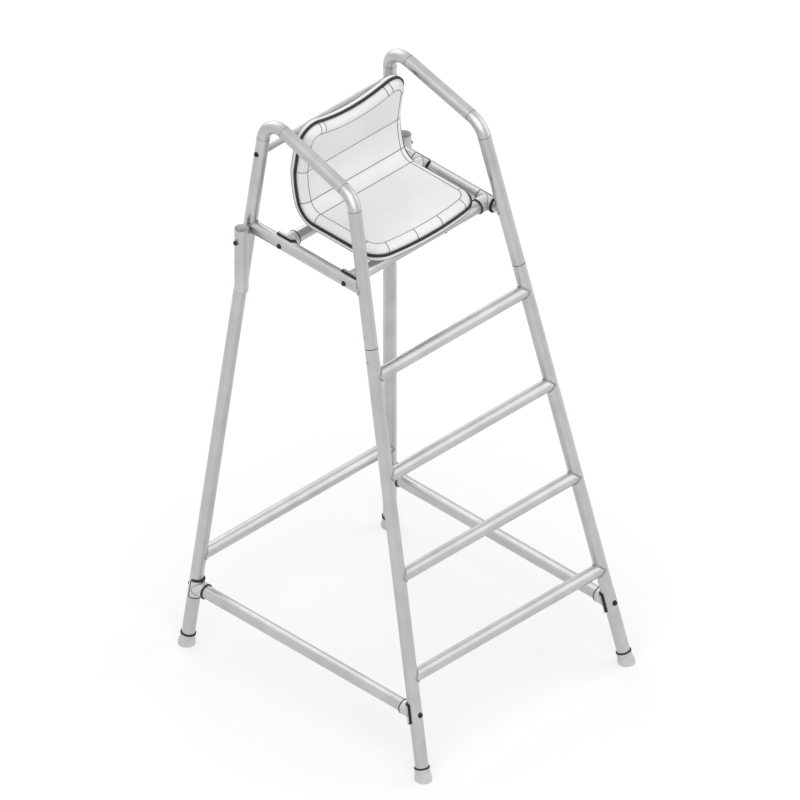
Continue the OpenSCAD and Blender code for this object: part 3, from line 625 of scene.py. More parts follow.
@dataclass(frozen=True)
class Welds:
    """The fillet beads that join the tubes.

    Args:
        frame: the tubes that they join.
        bead_r: radius of a bead.
        lift: how far its middle stands off the crevice, as a share of its radius.
        ripple: distance between a bead's ripples.
        ripple_depth: share of the radius that a ripple takes.
        steps: points of a bead round a tube.
    """

    frame: TubeFrame
    bead_r: float = 2.6 * MM
    lift: float = 0.35
    ripple: float = 2.4 * MM
    ripple_depth: float = 0.13
    steps: int = 200

    def radius(self, run: float) -> float:
        """The bead's radius at a distance along it."""
        return self.bead_r * (1 - self.ripple_depth * (1 - abs(sin(pi * run / self.ripple))))

    def _bar_end(self, shape: Shape, corner: Corner, z: float, way: Vector) -> None:
        """Lay the bead where the end of a bar meets a leg, just outside both skins.

        Args:
            shape: takes the bead.
            corner: the leg's corner.
            z: height of the bar.
            way: the bar's direction, away from the leg.
        """
        start, foot, post = self.frame.leg(corner, z), self.frame.leg(corner, 0.0), self.frame.leg_way(corner)
        across = way.cross(post).normalized()
        up = across.cross(way)
        flat_way = square_to(way, post)
        track = []
        for a in angles(self.steps):
            out = cos(a) * up + sin(a) * across
            skin = start + self.frame.bar_r * out
            gap = square_to(skin - foot, post)
            square, half = flat_way.length_squared, flat_way.dot(gap)
            rest = gap.length_squared - self.frame.tube_r**2
            meet = skin + (sqrt(max(0.0, half * half - square * rest)) - half) / square * way
            away = (out + square_to(meet - foot, post).normalized()).normalized()
            track.append((meet + self.lift * self.bead_r * away, away))
        shape.bead(track, self.radius)

    def build(self) -> None:
        """Lay every bead of the frame."""
        frame = self.frame
        ladder, rear, rails = Shape(), Shape(), Shape()
        rungs = [frame.first_rung_z + count * frame.step_pitch for count in range(frame.steps)]
        for corner in CORNERS:
            shape, heights = (ladder, rungs) if corner.end is End.FRONT else (rear, [frame.rear_tie_z])
            for z in heights:
                self._bar_end(shape, corner, z, -corner.side.out)
            self._bar_end(rails, corner, frame.rail_z, -corner.end.out)
        ladder.build("ladder_welds", [WELD_STEEL], "satin_tube")
        rear.build("rear_tie_welds", [WELD_STEEL], "satin_tube")
        rails.build("seat_rail_welds", [WELD_STEEL], "satin_tube")


# Bolts


@dataclass(frozen=True)
class ButtonHead:
    """A button-head bolt or screw with a hexagon socket, on a washer curved to fit its tube.

    Args:
        head_r: radius of the head.
        head_h: height of the head.
        socket_r: half the socket's width across its flats.
        washer_r: radius of the washer, or 0 for none.
        washer_t: thickness of the washer.
        shank_r: radius of the shank.
        shank_len: length of the shank below the head.
        dome: the head's side, as shares of its radius and height.
    """

    head_r: float = 7 * MM
    head_h: float = 4.2 * MM
    socket_r: float = 2.5 * MM
    washer_r: float = 8.4 * MM
    washer_t: float = 0.9 * MM
    shank_r: float = 4 * MM
    shank_len: float = 60 * MM
    dome: Profile = ((1.0, 0.12), (0.985, 0.3), (0.92, 0.55), (0.79, 0.78), (0.62, 0.93))

    def add(self, shape: Shape, place: Matrix, tube_r: float, lean: float = 0.0) -> None:
        """Set one bolt on a tube.

        Args:
            shape: takes the bolt.
            place: on the tube's axis, with X out through the head and Z near the tube's direction.
            tube_r: radius of the tube.
            lean: how far the tube leans from Z towards X.
        """
        crown = tube_r / cos(lean)

        def ring(r: float, h: float, follow: float = 0.0, corners: bool = False) -> list[Vector]:
            """One ring: its height is above the tube's crown, or above its skin where follow is 1."""
            points = []
            for a in angles(BOLT_STEPS):
                point = about_x(0.0, r * hexagon(a) if corners else r, a)
                bulge = sqrt(max(0.0, tube_r**2 - point.y**2))
                skin = (bulge + point.z * sin(lean)) / cos(lean)
                point.x = follow * skin + (1 - follow) * crown + h
                points.append(place @ point)
            return points

        base, seam, fold = 0.0, 0.2 * MM, 0.6 * MM
        if self.washer_r:
            base = self.washer_t + self.head_r * 0.5 * tan(abs(lean))
            washer = [
                ring(self.shank_r, -seam, 1),
                ring(self.washer_r, -seam, 1),
                ring(self.washer_r, self.washer_t * 0.7, 1),
                ring(self.washer_r - 0.3 * MM, self.washer_t, 1),
                ring(self.head_r * 0.9, self.washer_t, 0.3),
            ]
            shape.rings(washer)
        top, deep = base + self.head_h, base + self.head_h * 0.3
        head = [
            ring(self.shank_r, base - self.shank_len),
            ring(self.shank_r, base - fold),
            ring(self.head_r - seam, base - fold),
            *[ring(self.head_r * r, base + self.head_h * h) for r, h in self.dome],
            ring(self.socket_r * 1.35, top),
            ring(self.socket_r, top - seam, corners=True),
            ring(self.socket_r, deep, corners=True),
            ring(self.socket_r * 0.3, deep - 0.4 * MM),
        ]
        shape.rings(head)


@dataclass(frozen=True)
class FrameBolts:
    """Every bolt and small screw that shows on the frame."""

    frame: TubeFrame
    large: ButtonHead = ButtonHead()
    small: ButtonHead = ButtonHead(5.2 * MM, 2.8 * MM, 2.0 * MM, 0.0, 0.0, 3 * MM, 4 * MM)

    def build(self) -> None:
        """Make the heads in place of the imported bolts."""
        frame = self.frame
        ties, bars, back, joints = Shape(), Shape(), Shape(), Shape()
        for corner in CORNERS:
            self._leg_bolt(ties, corner, frame.side_tie_z, corner.end.out)
            self.large.add(bars, frame_at(frame.on_rail(corner), corner.side.out, ALONG), frame.bar_r)
            seam, way = frame.leg(corner, frame.seam_z), frame.leg_way(corner)
            for gap in (-frame.joint_screw_gap, frame.joint_screw_gap):
                place = frame_at(seam + gap * way, frame.side_out(corner.side), way)
                self.small.add(joints, place, frame.tube_r)
            if corner.end is End.REAR:
                self._leg_bolt(back, corner, frame.back_bar_z, corner.side.out)
        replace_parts(ties.build("tie_bolt_heads", [BLACK_OXIDE], "dark_fastener"), "tie_bolts")
        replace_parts(bars.build("seat_bar_bolt_heads", [BLACK_OXIDE], "dark_fastener"), "seat_bar_bolts")
        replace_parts(back.build("back_bar_bolt_heads", [BLACK_OXIDE], "dark_fastener"), "back_bar_bolts")
        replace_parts(joints.build("joint_screw_heads", [MILL_STEEL], "plain_steel"), "joint_screws")

    def _leg_bolt(self, shape: Shape, corner: Corner, z: float, out: Vector) -> None:
        """Set one large bolt on a leg, with its head facing a level direction."""
        way = self.frame.leg_way(corner)
        place = frame_at(self.frame.leg(corner, z), out, way)
        self.large.add(shape, place, self.frame.tube_r, asin(way.dot(out)))


# Saddle fittings


@dataclass(frozen=True)
class Saddles:
    """The fittings between the bolted bars and the tubes that they cross.

    Each is a casting on a rubber liner. A rolled rubber edge runs round the casting, and a rubber ring
    closes the collar's mouth.
    """

    frame: TubeFrame
    reach: float = 47 * MM
    wall: float = 6 * MM
    length: float = 62 * MM
    collar_inset: float = 0.6 * MM
    mouth_step: float = 3.2 * MM
    mouth_edge: float = 3 * MM
    liner_t: float = 2.4 * MM
    liner_inset: float = 0.5 * MM
    lip_r: float = 2.2 * MM
    lip_lap: float = 0.6 * MM
    lip_proud: float = 0.4 * MM
    lip_turn: float = 4 * MM
    ring_r: float = 2.6 * MM
    ring_out: float = 0.6 * MM
    ring_proud: float = 1.2 * MM
    crease_r: float = 0.7 * MM
    edge_r: float = 1.0 * MM
    root_sink: float = 0.5 * MM
    bend_steps: int = 20
    lip_steps: int = 16

    def build(self) -> None:
        """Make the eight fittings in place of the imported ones."""
        frame = self.frame
        for side in Side:
            corners = [Corner(side, end) for end in End]
            for corner in corners:
                place = frame_at(frame.leg(corner, frame.side_tie_z), -corner.end.out, frame.side_up(side))
                self._fitting(f"{corner.label}_tie_saddle", place, frame.lean(corner.end), frame.tube_r)
            for corner in corners:
                place = frame_at(frame.on_rail(corner), -side.out, ALONG)
                self._fitting(f"{corner.label}_seat_saddle", place, 0.0, frame.bar_r)

    def _fitting(self, node: str, place: Matrix, lean: float, tube_r: float) -> None:
        """One fitting: the wrap round the crossed tube, and the collar that takes the bar.

        Args:
            node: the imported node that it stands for.
            place: on the crossed tube's axis, with X into the bar and Z near the tube's direction.
            lean: how far the crossed tube leans from Z towards X.
            tube_r: radius of the crossed tube.
        """
        shape = Shape()
        lined, outer, half = tube_r + self.liner_t, tube_r + self.wall, self.length / 2
        bend = place @ Matrix.Rotation(lean, 4, "Y")
        cover = 2 * self.lip_r - self.lip_lap
        self._wrap(shape, bend, (lined - 2 * HAIR, outer), half - cover, pi / 2 - cover / outer)
        self._wrap(shape, bend, (tube_r + HAIR, lined), half - self.liner_inset, pi / 2, look=1)
        self._lip(shape, bend, outer)
        self._collar(shape, place, lean, outer)
        # The third finish is painted shade, for the dark line along the collar's crease.
        looks = [CAST_ALUMINIUM, NEOPRENE, TOOL_MARK]
        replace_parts(shape.build(f"{node}_casting", looks, "saddle_casting", crease=50), node)

    def _wrap(
        self, shape: Shape, bend: Matrix, radii: tuple[float, float], half: float, turn: float, look: int = 0
    ) -> None:
        """A sheet with rounded edges, bent half round the crossed tube.

        Args:
            shape: takes the sheet.
            bend: on the crossed tube's axis, with Z along the tube and X towards the bar.
            radii: inside and outside radius of the bend.
            half: half the sheet's length along the tube.
            turn: how far it reaches round the tube either way.
            look: place of the finish in the piece's list.
        """
        inner, outer = radii
        r = min(self.edge_r, (outer - inner) / 2.2)
        corners = ((outer - r, half - r), (inner + r, half - r), (inner + r, r - half), (outer - r, r - half))
        section = [p for i, at in enumerate(corners) for p in round_corner(at, 90 * i, r, 3)]
        turns = [turn * i / self.bend_steps for i in range(-self.bend_steps, self.bend_steps + 1)]
        shape.rings([[bend @ Vector((s * cos(a), s * sin(a), t)) for s, t in section] for a in turns], look)

    def _lip(self, shape: Shape, bend: Matrix, outer: float) -> None:
        """The rubber edge moulding that runs once round the wrap, whose outside radius is given."""
        r, turn = outer - self.lip_r + self.lip_proud, self.lip_turn
        high, wide = self.length / 2 - self.lip_r, pi / 2 * outer - self.lip_r
        flat: list[tuple[float, float]] = []
        for i, (u, v) in enumerate(((wide, high), (-wide, high), (-wide, -high), (wide, -high))):
            arc = round_corner((u - copysign(turn, u), v - copysign(turn, v)), 90 * i, turn, 4)
            flat += [*(self._stretch(flat[-1], arc[0]) if flat else ()), *arc]
        flat += self._stretch(flat[-1], flat[0])
        track = []
        for u, v in flat:
            way = Vector((cos(u / outer), sin(u / outer), 0.0))
            track.append((bend @ (r * way + v * UP), bend.to_3x3() @ way))
        shape.bead(track, self.lip_r, look=1)

    def _stretch(self, start: tuple[float, float], end: tuple[float, float]) -> list[tuple[float, float]]:
        """Points evenly between two points of a flat outline, so that it bends with the tube."""
        (u, v), (du, dv), steps = start, (end[0] - start[0], end[1] - start[1]), self.lip_steps
        return [(u + du * i / steps, v + dv * i / steps) for i in range(1, steps)]

    def _collar(self, shape: Shape, place: Matrix, lean: float, outer: float) -> None:
        """The collar: a cone from the wrap to its mouth, a dark line of painted shade along the crease at its
        root, and a rubber ring in its mouth.

        Args:
            shape: takes the collar.
            place: as for the fitting.
            lean: as for the fitting.
            outer: the wrap's outside radius.
        """
        turns, tilt = angles(COLLAR_STEPS), place.to_3x3()
        root_r, mouth_r = outer - self.collar_inset, self.frame.tube_r + self.mouth_step

        def cone(x: float) -> float:
            """The collar's radius at a distance from the crossed tube's axis."""
            return root_r + (mouth_r - root_r) * x / self.reach

        root = []
        for a in turns:
            x = outer
            # The cone's radius and its distance to the wrap depend on each other, and settle in a few rounds.
            for _ in range(12):
                _, y, z = about_x(x, cone(x), a)
                x = (sqrt(outer**2 - y * y) + z * sin(lean)) / cos(lean)
            root.append((x, a))
        edge, last = self.mouth_edge, self.reach - self.mouth_edge
        rings = [[place @ about_x(x - self.root_sink, cone(x), a) for x, a in root]]
        for b in (pi / 8 * i for i in range(5)):
            x, r = last + edge * sin(b), cone(last) - edge * 0.5 * (1 - cos(b))
            rings.append([place @ about_x(x, r, a) for a in turns])
        shape.rings(rings)
        # Painted shade: a dark line along the crease where the collar meets the wrap.
        crease = [(place @ about_x(x, cone(x), a), tilt @ about_x(1.0, 1.0, a)) for x, a in root]
        shape.bead(crease, self.crease_r, sides=6, look=2)
        x, r = self.reach - self.ring_r + self.ring_out, mouth_r + self.ring_proud - self.ring_r
        ring = [(place @ about_x(x, r, a), tilt @ about_x(0.0, 1.0, a)) for a in turns]
        shape.bead(ring, self.ring_r, look=1)


# Feet


@dataclass(frozen=True)
class Feet:
    """The rubber feet, cut level where they stand."""

    frame: TubeFrame
    height: float = 40 * MM
    top_r: float = 22.4 * MM
    sole_r: float = 25.2 * MM
    sole: float = 12 * MM
    drain_r: float = 2 * MM
    band_h: float = 4 * MM
    band_step: float = 0.9 * MM
    ribs: int = 3
    rib_pitch: float = 4.2 * MM
    groove: float = 0.7 * MM

    def build(self) -> None:
        """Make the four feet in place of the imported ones, each with a dark band round its mouth."""
        inside, low, high = self.frame.tube_r + HAIR, self.height - self.band_h, self.height
        foot = self._outside() + [(inside, low), (inside, self.sole), (self.drain_r, self.sole)]
        bore, rim = inside + 2 * HAIR, self.top_r + self.band_step
        band = [(bore, low), (rim - 0.5 * MM, low), (rim, low + 0.6 * MM), (rim, high - 0.9 * MM)]
        band += [(rim - 0.8 * MM, high), (bore, high)]
        for corner in CORNERS:
            node, shape = f"{corner.label}_foot", Shape()
            axis = (self.frame.leg(corner, 0.0), self.frame.leg_way(corner))
            shape.revolve(foot, axis, FOOT_STEPS)
            shape.revolve(band, axis, FOOT_STEPS, look=1, loop=True)
            piece = shape.build(f"{node}_rubber", [FOOT_RUBBER, NEOPRENE], "foot_rubber", crease=30)
            self._level(piece)
            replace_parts(piece, node)

    def _outside(self) -> list[tuple[float, float]]:
        """The outside of the foot, from the sole's middle to the mouth."""
        sole, wide, top = self.sole, self.sole_r, self.top_r
        shoulder = sole * 1.6
        low = [(self.drain_r, -sole), (wide, -sole), (wide, sole * 0.8), (wide - 0.8 * MM, sole * 1.05)]
        neck = [(top + 0.9 * MM, shoulder), (top + 0.3 * MM, shoulder + 1.5 * MM)]
        grooves = []
        for k in range(self.ribs):
            at = shoulder + 3.5 * MM + k * self.rib_pitch
            for sunk, up in ((0.0, 0.0), (self.groove, 0.5), (self.groove, 1.3), (0.0, 1.8)):
                grooves.append((top - sunk, at + up * MM))
        rim = self.height - self.band_h
        return low + neck + grooves + [(top, rim - 0.4 * MM), (top - 0.3 * MM, rim)]

    @staticmethod
    def _level(piece: bpy.types.Object) -> None:
        """Cut a foot off level at the floor and close the cut."""
        work = bmesh.new()
        work.from_mesh(piece.data)
        whole = work.verts[:] + work.edges[:] + work.faces[:]
        ground = {"plane_co": (0, 0, 0), "plane_no": (0, 0, -1)}
        cut = bmesh.ops.bisect_plane(work, geom=whole, clear_outer=True, **ground)
        edges = [item for item in cut["geom_cut"] if isinstance(item, bmesh.types.BMEdge)]
        bmesh.ops.edgeloop_fill(work, edges=edges)
        bmesh.ops.recalc_face_normals(work, faces=work.faces)
        work.to_mesh(piece.data)
        work.free()


# Seat


@dataclass(frozen=True)
class Seat:
    """The moulded seat: two shells that meet in a flange, and the trim round it."""

    height: float = 1565 * MM
    front_y: float = -57 * MM
    pan: float = 225 * MM
    width: float = 368 * MM
    bend_r: float = 42 * MM
    bend_a: float = radians(70)
    waist_r: float = 330 * MM
    waist_a: float = radians(17)
    back_len: float = 140 * MM
    low_crease: float = radians(3)
    high_crease: float = radians(9)
    front_corner_r: float = 32 * MM
    top_corner_r: float = 42 * MM
    front_bow: float = 18 * MM
    top_dip: float = 34 * MM
    rim_r: float = 25 * MM
    rim_drop: float = 21.5 * MM
    depth: float = 43 * MM
    shell_t: float = 4 * MM
    flange_w: float = 5 * MM
    flange_t: float = 2.2 * MM
    trim_t: float = 2.2 * MM
    trim_r: float = 1.5 * MM
    trim_edge: float = 0.8 * MM
    base_wall: float = 28 * MM
    base_depth: float = 46 * MM
    base_edge_r: float = 6 * MM
    groove_w: float = 1.4 * MM
    groove_d: float = 0.6 * MM
    line_r: float = 1.3 * MM
    columns: int = 44
    corner_steps: int = 12

    @cached_property
    def creases(self) -> tuple[float, float, float, float]:
        """Distances along the seat of its three creases and its top edge."""
        s1 = self.pan
        s2 = s1 + self.bend_r * self.bend_a
        s3 = s2 + self.waist_r * self.waist_a
        return s1, s2, s3, s3 + self.back_len

    @cached_property
    def rows(self) -> list[float]:
        """Distances along the seat of its grid's rows, closer together at the corners and creases."""
        s1, s2, s3, s4 = self.creases
        front, top = self.front_corner_r, self.top_corner_r
        quarter = [pi / 2 * i / self.corner_steps for i in range(self.corner_steps + 1)]
        rows = [front * (1 - cos(a)) for a in quarter] + [s4 - top * (1 - sin(a)) for a in quarter]
        spans = ((front, s1, 12 * MM), (s1, s2, 4 * MM), (s2, s3, 8 * MM), (s3, s4 - top, 10 * MM))
        for start, end, longest in spans:
            count = ceil((end - start) / longest)
            rows += [start + (end - start) * i / count for i in range(1, count)]
        for s in (s1, s2, s3):
            rows = [r for r in rows if abs(r - s) > 1.3 * self.groove_w]
            rows += [s - self.groove_w, s, s + self.groove_w]
        return sorted(set(rows))

    def at(self, s: float) -> tuple[float, float, float]:
        """Y, Z and the slope of the sitting surface at a distance from its front edge."""
        s1, s2, s3, _ = self.creases
        y, z, slope = self.front_y + min(s, s1), self.height, 0.0
        bend = (s1, s2, self.bend_r, self.bend_a, self.low_crease)
        waist = (s2, s3, self.waist_r, self.waist_a, self.high_crease)
        for start, end, r, whole, crease in (bend, waist):
            if s <= start:
                return y, z, slope
            turned = slope + whole * (min(s, end) - start) / (end - start)
            y += r * (sin(turned) - sin(slope))
            z += r * (cos(slope) - cos(turned))
            slope = turned
            if s <= end:
                return y, z, slope + (crease / 2 if s == end else 0.0)
            slope += crease
        return y + (s - s3) * cos(slope), z + (s - s3) * sin(slope), slope

    def flat(self, row: int, col: int) -> tuple[float, float]:
        """A point of the unrolled seat: X, and the distance along it."""
        s, half = self.rows[row], self.width / 2
        _, _, s3, s4 = self.creases
        for r, gap in ((self.front_corner_r, s), (self.top_corner_r, s4 - s)):
            # A round corner draws the row's ends inwards.
            if gap < r:
                half -= r * (1 - sqrt(max(0.0, 1 - (1 - gap / r) ** 2)))
        x = half * (2 * col / self.columns - 1)
        fade, crown = s4 - s3 - 1 * MM, 1 - (2 * x / self.width) ** 2
        bow = self.front_bow * max(0.0, 1 - s / fade)
        dip = self.top_dip * max(0.0, 1 - (s4 - s) / fade)
        return x, s - crown * (bow + dip)

    def lift(self, spot: tuple[float, float], depth: float) -> Vector:
        """A point of the unrolled seat, laid at a depth below the sitting surface."""
        y, z, slope = self.at(spot[1])
        return Vector((spot[0], y + depth * sin(slope), z - depth * cos(slope)))

    def grid(self, depth: float, press: float = 0.0) -> list[list[Vector]]:
        """Rows of points at a depth, with the creases pressed in by some more."""
        depths = [depth + press if s in self.creases[:3] else depth for s in self.rows]
        cols = range(self.columns + 1)
        return [[self.lift(self.flat(row, c), deep) for c in cols] for row, deep in enumerate(depths)]

    @cached_property
    def loop(self) -> list[tuple[int, int]]:
        """Row and column of each point of the edge, once round."""
        rows, cols = len(self.rows) - 1, self.columns
        there = [(0, c) for c in range(cols)] + [(r, cols) for r in range(rows)]
        return there + [(rows, c) for c in range(cols, 0, -1)] + [(r, 0) for r in range(rows, 0, -1)]

    def rim(self, section: Profile) -> list[list[Vector]]:
        """Loops of points beside the edge.

        Args:
            section: distance out from the edge and depth of each loop.

        Returns:
            The loops.
        """
        flats = [self.flat(*spot) for spot in self.loop]
        loops: list[list[Vector]] = [[] for _ in section]
        for i, spot in enumerate(flats):
            before, after = flats[i - 1], flats[(i + 1) % len(flats)]
            way = Vector((after[1] - before[1], before[0] - after[0])).normalized()
            slope = self.at(spot[1])[2]
            out_way = Vector((way.x, way.y * cos(slope), way.y * sin(slope)))
            for ring, (out, deep) in zip(loops, section):
                ring.append(self.lift(spot, deep) + out * out_way)
        return loops

    def shell(self, upper: list[list[Vector]], lower: list[list[Vector]], section: Profile) -> Shape:
        """A closed shell of two grids that a section joins round the edge."""
        shape = Shape()
        for grid in (upper, lower):
            shape.rings(grid, around=False)
        inner, outer = [[grid[r][c] for r, c in self.loop] for grid in (upper, lower)]
        shape.rings([inner, *self.rim(section), outer], caps=False)
        return shape

    def build(self) -> None:
        """Make the seat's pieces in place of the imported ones."""
        self._top_shell()
        self._base_shell()
        self._trim()
        self._lines()

    def _top_shell(self) -> None:
        """The shell that is sat on: its sitting surface, rolled rim and flange."""
        rim, drop, t = self.rim_r, self.rim_drop, self.shell_t
        part, out = drop + self.flange_t, rim + self.flange_w
        turns = [pi / 2 * i / 12 for i in range(1, 13)]
        section = [(rim * sin(a), drop * (1 - cos(a))) for a in turns]
        section += [(out, drop), (out, part), (rim - t, part)]
        section += [((rim - t) * sin(a), drop - (drop - t) * cos(a)) for a in reversed(turns)]
        shape = self.shell(self.grid(0.0, self.groove_d), self.grid(t), section)
        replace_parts(shape.build("seat_top_moulding", [SEAT_SHELL], "seat_shell"), "seat_top_shell")

    def _base_shell(self) -> None:
        """The shell below the flange: its wall stands out past the flat, and ends in a rounded lower rim."""
        rim, t, under, edge = self.rim_r, self.shell_t, self.depth, self.base_edge_r
        part, low = self.rim_drop + self.flange_t, self.rim_drop + 2 * self.flange_t
        out, wall, foot = rim + self.flange_w, self.base_wall, self.base_depth
        inside = round_corner((rim - t - edge, under - t - edge), 0, edge, 6)
        outside = round_corner((wall - edge, foot - edge), 0, edge, 6)
        section = [*reversed(inside), (rim - t, part), (out, part), (out, low), (wall, low), *outside]
        section += [(wall - 2 * edge, foot), (wall - 2.5 * edge, under)]
        shape = self.shell(self.grid(under - t), self.grid(under), section)
        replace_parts(shape.build("seat_base_moulding", [SEAT_SHELL], "seat_shell"), "seat_base_shell")

    def _trim(self) -> None:
        """The rubber trim pushed over the flanges: a channel with a rounded back."""
        r, cut, edge = self.trim_r, self.trim_edge, self.rim_r + self.flange_w
        lip, back = self.rim_r + r, edge + self.trim_t - r
        high, low = self.rim_drop, self.rim_drop + 2 * self.flange_t
        top, foot = high - self.trim_t, low + self.trim_t
        section = [(lip, high), (lip, top + cut), (lip + cut, top), *round_corner((back, top + r), -90, r, 4)]
        section += [*round_corner((back, foot - r), 0, r, 4), (lip + cut, foot), (lip, foot - cut)]
        loops = self.rim([*section, (lip, low), (edge, low), (edge, high)])
        shape = Shape()
        shape.rings(list(zip(*loops)), along=True)
        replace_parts(shape.build("seat_edge_channel", [TRIM_RUBBER], "edge_trim"), "seat_edge_trim")

    def _lines(self) -> None:
        """Lines of painted shade, in a dark grey: along the creases, round the edge of the flat, across the
        rim, and along the lower edge.
        """
        shape = Shape()
        for row in (self.rows.index(s) for s in self.creases[:3]):
            spots = [self.flat(row, col) for col in range(self.columns + 1)]
            lows = [(spot, self.lift(spot, self.groove_d)) for spot in spots]
            track = [(low, self.lift(spot, -1.0) - low) for spot, low in lows]
            shape.bead(track, self.line_r, sides=6, closed=False)
        out, deep = self.base_wall - 0.6 * MM, self.base_depth - 0.7 * self.base_edge_r
        for section in ([(0.0, 0.5 * MM), (0.0, -1.0)], [(out, deep), (out + 1.0, deep + 0.3)]):
            low, high = self.rim(section)
            shape.bead([(p, q - p) for p, q in zip(low, high)], self.line_r, sides=6)
        sunk, drop = 0.35 * MM, self.rim_drop
        turns = [pi / 2 * i / 10 for i in range(11)]
        loops = self.rim([((self.rim_r - sunk) * sin(a), drop - (drop - sunk) * cos(a)) for a in turns])
        middle = self.rim([(0.0, drop)])[0]
        for place in self._stations():
            track = [(ring[place], ring[place] - middle[place]) for ring in loops]
            shape.bead(track, self.line_r, sides=6, closed=False)
        # These dark lines are painted shade, not a colour of the plastic.
        shape.build("seat_mould_lines", [GROOVE_SHADE], "seat_shell", crease=60)

    def _stations(self) -> list[int]:
        """Places round the edge where a line of painted shade crosses the rim."""
        s1, s2, s3, s4 = self.creases
        top, third, last = len(self.rows) - 1, round(self.columns / 3), self.columns
        heights = (self.front_corner_r, s1, s2, s3, s4 - self.top_corner_r)
        ends = [min(range(top), key=lambda r: abs(self.rows[r] - s)) for s in heights] + [0, top - 1]
        wanted = {(r, c) for r in ends for c in (0, last)}
        wanted |= {(0, third), (0, last - third), (top, 2), (top, last - 2)}
        return [i for i, spot in enumerate(self.loop) if spot in wanted]


# Umbrella sockets


@dataclass(frozen=True)
class UmbrellaSockets:
    """The umbrella sockets: their finish, their welds and their clamp screws."""

    frame: TubeFrame
    welds: Welds
    outer_r: float = 21.1 * MM
    bore_r: float = 19.45 * MM
    low_z: float = 1284 * MM
    length: float = 218 * MM
    gap: float = 0.5 * MM
    weld_start: float = 1.5 * MM
    weld_len: float = 58 * MM
    weld_steps: int = 70
    clamp_drop: float = 40 * MM
    boss_r: float = 8 * MM
    boss_h: float = 2 * MM
    ring_gap: float = 0.4 * MM
    ring_lift: float = 0.2 * MM
    ring_steps: int = 90
    travel: float = 2 * MM
    pad_back: float = 0.3 * MM
    pad_t: float = 2.2 * MM
    screw_r: float = 4 * MM
    screw_pitch: float = 1.25 * MM
    thread_d: float = 0.55 * MM
    stem_r: float = 1.9 * MM
    head_flats: float = 13 * MM
    head_h: float = 3.5 * MM
    lip_share: float = 0.62
    bead_share: float = 0.5

    def middle(self, side: Side, z: float) -> Vector:
        """A point on a socket's axis."""
        lean = cos(self.frame.side_tilt) * cos(self.frame.rear_lean)
        off = (self.outer_r + self.frame.tube_r / lean + self.gap) / sqrt(2)
        post = self.frame.leg(Corner(Side.RIGHT, End.REAR), self.low_z)
        return Vector((side.value * (post.x + off), post.y - off, z))

    def clamp(self, side: Side) -> Vector:
        """Where a clamp screw's axis crosses its socket's."""
        return self.middle(side, self.low_z + self.length - self.clamp_drop)

    def build(self, nodes: Nodes) -> None:
        """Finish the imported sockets, and make their welds, lips and clamp screws."""
        seams, lips = Shape(), Shape()
        wall = self.outer_r - self.bore_r
        for side in Side:
            self._dress(nodes, side)
            top = self.middle(side, self.low_z + self.length)
            ways = [Vector((cos(a), sin(a), 0.0)) for a in angles(COLLAR_STEPS)]
            lips.bead([(top + (self.bore_r + wall / 2) * way, way) for way in ways], self.lip_share * wall)
            for hand in (-1, 1):
                seams.bead(self._crevice(side, hand), self.welds.radius, closed=False)
            seams.bead(self._boss_ring(side), lambda run: self.bead_share * self.welds.radius(run))
        seams.build("socket_welds", [WELD_STEEL], "satin_tube")
        lips.build("socket_lips", [MILL_STEEL], "satin_tube")
        for side in Side:
            self._screw(side)

    def _dress(self, nodes: Nodes, side: Side) -> None:
        """Polish a packed socket outside, and leave its bore as drawn."""
        name = f"{side.label}_umbrella_socket"
        dress(nodes, {satin_tube(UP, "upright"): [name]})
        mesh, axis = nodes[name].data, self.middle(side, 0.0)
        mesh.materials.append(DRAWN_BORE.build())
        for face in mesh.polygons:
            if square_to(face.center - axis, UP).length < self.bore_r + 0.2 * MM:
                face.material_index = 1

    def _crevice(self, side: Side, hand: int) -> list[Line]:
        """The track of a bead in the crevice between a socket's foot and the leg.

        Args:
            side: the side of the chair.
            hand: which of the two crevices.

        Returns:
            The track, from the socket's foot upwards.
        """
        grow = 0.5 * self.welds.bead_r
        a, b = self.outer_r + grow, self.frame.tube_r + grow
        track = []
        for i in range(self.weld_steps + 1):
            z = self.low_z + self.weld_start + self.weld_len * i / self.weld_steps
            socket = self.middle(side, z)
            span = self.frame.leg(Corner(side, End.REAR), z) - socket
            gap = span.length
            along = (gap * gap + a * a - b * b) / (2 * gap)
            rise = sqrt(max(0.0, a * a - along * along))
            way = span / gap
            square = Vector((-way.y, way.x, 0.0))
            track.append((socket + along * way + hand * rise * square, hand * square))
        return track

    def _boss_ring(self, side: Side) -> list[Line]:
        """The track of the bead round a clamp boss, on the socket's skin."""
        track = []
        for a in angles(self.ring_steps):
            spot = about_x(0.0, self.boss_r + self.ring_gap, a)
            spot.x = side.value * (sqrt(self.outer_r**2 - spot.y**2) + self.ring_lift)
            track.append((self.clamp(side) + spot, side.out))
        return track

    def _screw(self, side: Side) -> None:
        """The clamp screw: a hexagon head on a threaded shank, with a pocket for the pad's stem."""
        place = frame_at(self.clamp(side) + self.bore_r * side.out, side.out, UP)
        under = self.outer_r - self.bore_r + self.boss_h + self.travel + self.pad_back
        tip, top, half = self.pad_back + self.pad_t + HAIR, under + self.head_h, self.head_flats / 2

        def ring(x: float, radius: float | Callable[[float], float]) -> list[Vector]:
            """One ring of the screw at a distance from the bore."""
            turns = [(radius(a) if callable(radius) else radius, a) for a in angles(BOLT_STEPS)]
            return [place @ about_x(x, r, a) for r, a in turns]

        def thread(x: float) -> Callable[[float], float]:
            """The threaded shank's radius by angle, at a distance from the bore."""
            turns = x / self.screw_pitch
            return lambda a: self.screw_r - self.thread_d * abs(2 * ((turns - a / tau) % 1.0) - 1)

        def head(most: float) -> Callable[[float], float]:
            """The head's radius by angle, cut round where it would pass a share of half its flats."""
            return lambda a: half * min(hexagon(a), most)

